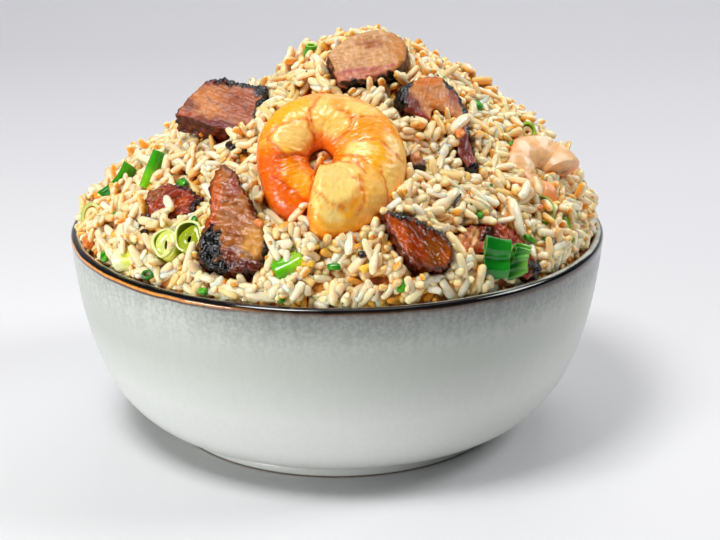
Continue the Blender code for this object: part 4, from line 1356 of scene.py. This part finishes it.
# Crumbs: food, dark and light colour, how oily, seed, and each crumb's x, y, lift, direction in degrees,
# length, width and thickness
BITS = {
    "leaf_bits": ("scallion", (30, 122, 20), (90, 176, 30), 0.9, 1100, [
        (-62, -37.5, 0.8, 10, 3.2, 2.8, 2.0), (-34.3, -64.2, 0.8, 0, 2.8, 2.0, 1.8),
        (-60.2, -27.2, 1.2, 80, 3.0, 1.4, 1.4), (-64, -24.2, 1.2, 0, 2.0, 2.4, 1.4),
        (-66.4, -24, 1.0, 20, 2.6, 2.4, 1.6), (-40.4, -35.4, 2.0, -20, 3.8, 3.2, 2.0),
        (-44.3, -34.3, 1.8, 20, 4.6, 1.4, 1.0), (-37, -49.2, 1.6, 80, 2.4, 1.6, 1.2),
        (-14.6, -71.2, 0.4, 0, 2.6, 2.0, 1.6), (-1, -68.5, 1.0, 0, 3.4, 1.9, 1.6),
        (16.3, -69.7, 1.0, 60, 3.4, 2.0, 1.5), (19, -55.3, 0.8, 0, 2.8, 2.2, 1.4),
        (38, -14.2, 1.6, 80, 3.0, 2.2, 1.6), (46.7, -23.4, 1.6, 0, 3.4, 1.6, 1.4),
        (37, -51, 1.0, 0, 1.8, 1.8, 1.2), (50.3, -47.7, 1.4, -45, 4.0, 1.6, 1.2),
        (54.4, -43.8, 1.4, 40, 2.0, 1.2, 1.0), (28, -10.6, 1.5, 0, 2.2, 2.0, 1.6)]),
    "orange_bits": ("pork", (214, 104, 34), (244, 152, 60), 0.8, 1130, [
        (-19.3, -58.3, 3.6, -20, 2.6, 2.2, 1.6), (-33.4, -56.6, 3.6, 70, 2.4, 1.6, 1.2),
        (-67.5, -26, 1.2, 10, 3.8, 3.4, 2.6), (30.4, -35.5, 6.8, 10, 3.2, 2.4, 1.4),
        (-36.7, -13.6, 1.8, 0, 3.0, 1.8, 1.4), (52.6, -39.2, 2.4, 0, 1.6, 1.4, 1.0)]),
    "yellow_bits": ("pork", (226, 168, 30), (250, 204, 70), 0.8, 1150, [
        (-30, -53.7, 4.6, 80, 2.4, 1.6, 1.2), (-5.6, -64.8, 1.4, 0, 2.2, 1.6, 1.2),
        (7, -68.7, 1.4, 30, 3.0, 2.2, 1.4), (-7.3, -67.8, 1.8, 0, 3.4, 2.4, 1.6)]),
    "dark_bits": ("pork", (18, 15, 18), (60, 34, 30), 0.85, 1170, [
        (-28, -27.5, 1.0, 0, 4.0, 3.0, 2.0), (-25.4, -31, 1.0, 30, 3.2, 2.6, 2.0),
        (-22, -68.6, 0.2, 0, 3.6, 2.4, 1.6), (6.3, -66.4, 1.0, 0, 2.2, 2.0, 1.4),
        (30.3, -51.1, 2.8, 40, 5.0, 0.8, 0.7), (-50.3, -44.9, 2.6, 45, 5.0, 3.0, 2.0)]),
}


def build_lumps(name, looks, food, tints, places, axes, sizes, wet, seed, sides=12, rings=8):
    """Rounded, uneven crumbs as one piece, with (along, across, out) axes and three lengths for each."""
    level = np.linspace(0, math.pi, rings + 2)[1:-1, None]
    turn = np.linspace(0, 2 * math.pi, sides, endpoint=False)[None]
    girth = np.sin(level)
    ball = np.stack([np.cos(level) + 0 * turn, girth * np.cos(turn), girth * np.sin(turn)], -1)
    blunt = (np.sign(ball) * np.abs(ball) ** 0.6).reshape(-1, 3)
    blunt, ball_faces = capped(blunt, grid_faces(rings, sides), rings, sides)
    dark, light = (linear(*tint) for tint in tints)
    points, colours, faces = [], [], []
    for number, (place, basis, size) in enumerate(zip(places, axes, sizes)):
        lump = blunt * (np.array(size) / 2)
        lump = lump * (1 + 0.16 * ripple(lump, max(size) / 2.2, seed + number))[:, None]
        shade = smooth(-0.7, 0.8, ripple(lump, 1.1, seed + 7 * number))
        faces += [[corner + number * len(lump) for corner in face] for face in ball_faces]
        points.append(lump @ np.array(basis) + place)
        colours.append(mix(tiled(dark, lump), light, shade))
    points = np.vstack(points)
    make_object(name, points, faces, looks[food], np.vstack(colours), np.full(len(points), wet))


def build_bits(looks, name, food, dark, light, wet, seed, bits):
    values = np.array(bits)
    ground, right, above, out = heap_frame(values[:, 0], values[:, 1])
    turn = np.radians(values[:, 3])[:, None]
    along = right * np.cos(turn) + above * np.sin(turn)
    axes = np.stack([along, np.cross(out, along), out], 1)
    places = ground + out * values[:, 2:3]
    build_lumps(name, looks, food, (dark, light), places, axes, values[:, 4:7], wet, seed)


# Specks on grains: piece, food, dark and light colour, number, smallest and largest size
SPECKS = [("pepper_specks", "pork", (30, 22, 18), (84, 50, 30), 150, (0.4, 0.9)),
          ("leaf_specks", "scallion", (60, 110, 20), (120, 160, 40), 34, (0.6, 1.3)),
          ("browned_specks", "pork", (190, 110, 30), (232, 160, 60), 130, (0.6, 1.6))]


def build_specks(looks, shown, centres, axes, ups, thick):
    """Pepper, leaf and browned crumbs, each stuck to the outer side of a grain."""
    start = 0
    for name, food, dark, light, number, (least, most) in SPECKS:
        grains = shown[start:start + number]
        start += number
        length = random.uniform(least, most, number)
        place = centres[grains] + ups[grains] * (thick[grains] * 0.47)[:, None]
        place += axes[grains] * random.uniform(-1.6, 1.6, (number, 1))
        bases = np.stack([axes[grains], np.cross(ups[grains], axes[grains]), ups[grains]], 1)
        sizes = np.stack([length, length * random.uniform(0.5, 0.9, number), np.full(number, 0.45)], -1)
        build_lumps(name, looks, food, (dark, light), place, bases, sizes, 0.6, 1200 + start, 7, 4)


# Camera, light and the room

def build_stage():
    """A pale floor that runs up into a backdrop."""
    depth, radius, rise = 1.4, 0.9, 2.2
    profile = [(-1.6, 0.0), (depth - radius, 0.0)]
    for turn in np.radians(np.linspace(0, 90, 17)[1:]):
        profile.append((depth - radius + radius * math.sin(turn), radius - radius * math.cos(turn)))
    profile.append((depth, rise))
    form = bmesh.new()
    rows = [[form.verts.new((side, y, z)) for y, z in profile] for side in (-2.6, 2.6)]
    for index in range(len(profile) - 1):
        form.faces.new((rows[0][index], rows[1][index], rows[1][index + 1], rows[0][index + 1]))
    mesh = bpy.data.meshes.new("floor")
    form.to_mesh(mesh)
    form.free()
    mesh.shade_smooth()
    floor = link("floor", mesh)
    paper, tree, shader = new_material("pale_paper", Roughness=0.75, Specular_IOR_Level=0.2)
    place = add(tree, "SeparateXYZ", {"Vector": add(tree, "TexCoord").outputs["Object"]}).outputs
    # Painted shade: the paper turns darker to the right and further back, up the backdrop
    near = mix_colours(tree, span(tree, place["X"], -0.16, 0.1), (0.84, 0.84, 0.85), (0.74, 0.74, 0.76))
    paper_with_painted_shade = mix_colours(tree, span(tree, place["Y"], 0, 0.5), near, (0.68, 0.68, 0.715))
    tree.links.new(paper_with_painted_shade, shader.inputs["Base Color"])
    mesh.materials.append(paper)


# Place in m, width, height and power
LIGHTS = {
    "key": ((-0.30, -0.34, 0.96), 0.34, 0.34, 7.1),
    "top": ((0.05, 0.2, 1.1), 0.9, 0.9, 3.0),
    "side": ((-0.95, -0.45, 0.32), 0.5, 0.5, 0.8),
    "low_side": ((-0.9, -0.7, 0.06), 0.4, 0.1, 5.6),
    "right": ((0.84, 0.06, 0.78), 0.4, 0.4, 4.7),
    "back": ((0.15, 0.95, 0.9), 0.9, 0.5, 2.9),
}
LIT_PLACE = Vector((0, 0, 0.06))


def look_along(name, data, place, way):
    """Puts a light or the camera at place, looking that way."""
    obj = link(name, data)
    obj.location = place
    obj.rotation_euler = way.to_track_quat("-Z", "Y").to_euler()
    return obj


def build_lights():
    """White panels that look at the dish, in a dim white room."""
    world = bpy.data.worlds.new("studio")
    bpy.context.scene.world = world
    world.use_nodes = True
    background = world.node_tree.nodes["Background"]
    background.inputs["Color"].default_value = (1, 1, 1, 1)
    background.inputs["Strength"].default_value = 0.03
    for name, (place, width, height, power) in LIGHTS.items():
        light = bpy.data.lights.new(name, "AREA")
        light.shape = "RECTANGLE"
        light.size, light.size_y = width, height
        light.energy = power
        look_along(name, light, place, LIT_PLACE - Vector(place))


CAMERA_PLACE, CAMERA_PITCH, CAMERA_YAW = (0, -0.5733, 0.2358), 18.47, 0.65    # in m and degrees


def build_camera():
    camera = bpy.data.cameras.new("camera")
    camera.lens, camera.sensor_width = 104.4, 36
    camera.clip_start, camera.clip_end = 0.02, 20
    pitch, yaw = math.radians(CAMERA_PITCH), math.radians(CAMERA_YAW)
    forward = Vector((math.sin(yaw) * math.cos(pitch), math.cos(yaw) * math.cos(pitch), -math.sin(pitch)))
    bpy.context.scene.camera = look_along("camera", camera, CAMERA_PLACE, forward)
    bpy.context.scene.view_settings.view_transform = "Standard"


build_camera()
build_stage()
build_lights()
build_bowl()

# Width of specks, how much they vary, strength and width of bumps, roughness dry and moist
looks = {
    "rice": food_material("cooked_rice", 1.4, 0.07, 0.3, 0.9, 0.5, 0.1, subsurface=0.8, glow=(1, 0.6, 0.3)),
    "core": food_material("rice_bed", 2.0, 0.25, 0.6, 1.6, 0.6, 0.3),
    "shrimp": food_material("shrimp_flesh", 1.1, 0.08, 0.3, 0.9, 0.5, 0.2, subsurface=0.1),
    "pork": food_material("roast_pork", 0.7, 0.22, 0.5, 0.6, 0.6, 0.18, subsurface=0.06),
    "scallion": food_material("scallion_skin", 1.2, 0.10, 0.2, 1.0, 0.45, 0.12, subsurface=0.12,
                              glow=(0.4, 1, 0.1)),
}
build_core(looks["core"])
build_shrimp_front(looks["shrimp"])
build_shrimp_right(looks["shrimp"])
for slice_ in SLICES:
    build_pork(looks["pork"], **slice_)
for scallion in SCALLIONS:
    build_tube(looks["scallion"], **scallion)
for name, crumbs in BITS.items():
    build_bits(looks, name, *crumbs)
standing = ("glazed_bowl", "rice_core")
toppings = [obj for obj in bpy.data.objects if obj.get("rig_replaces") and obj.name not in standing]
build_rice_grains(looks, [Field(obj) for obj in toppings])
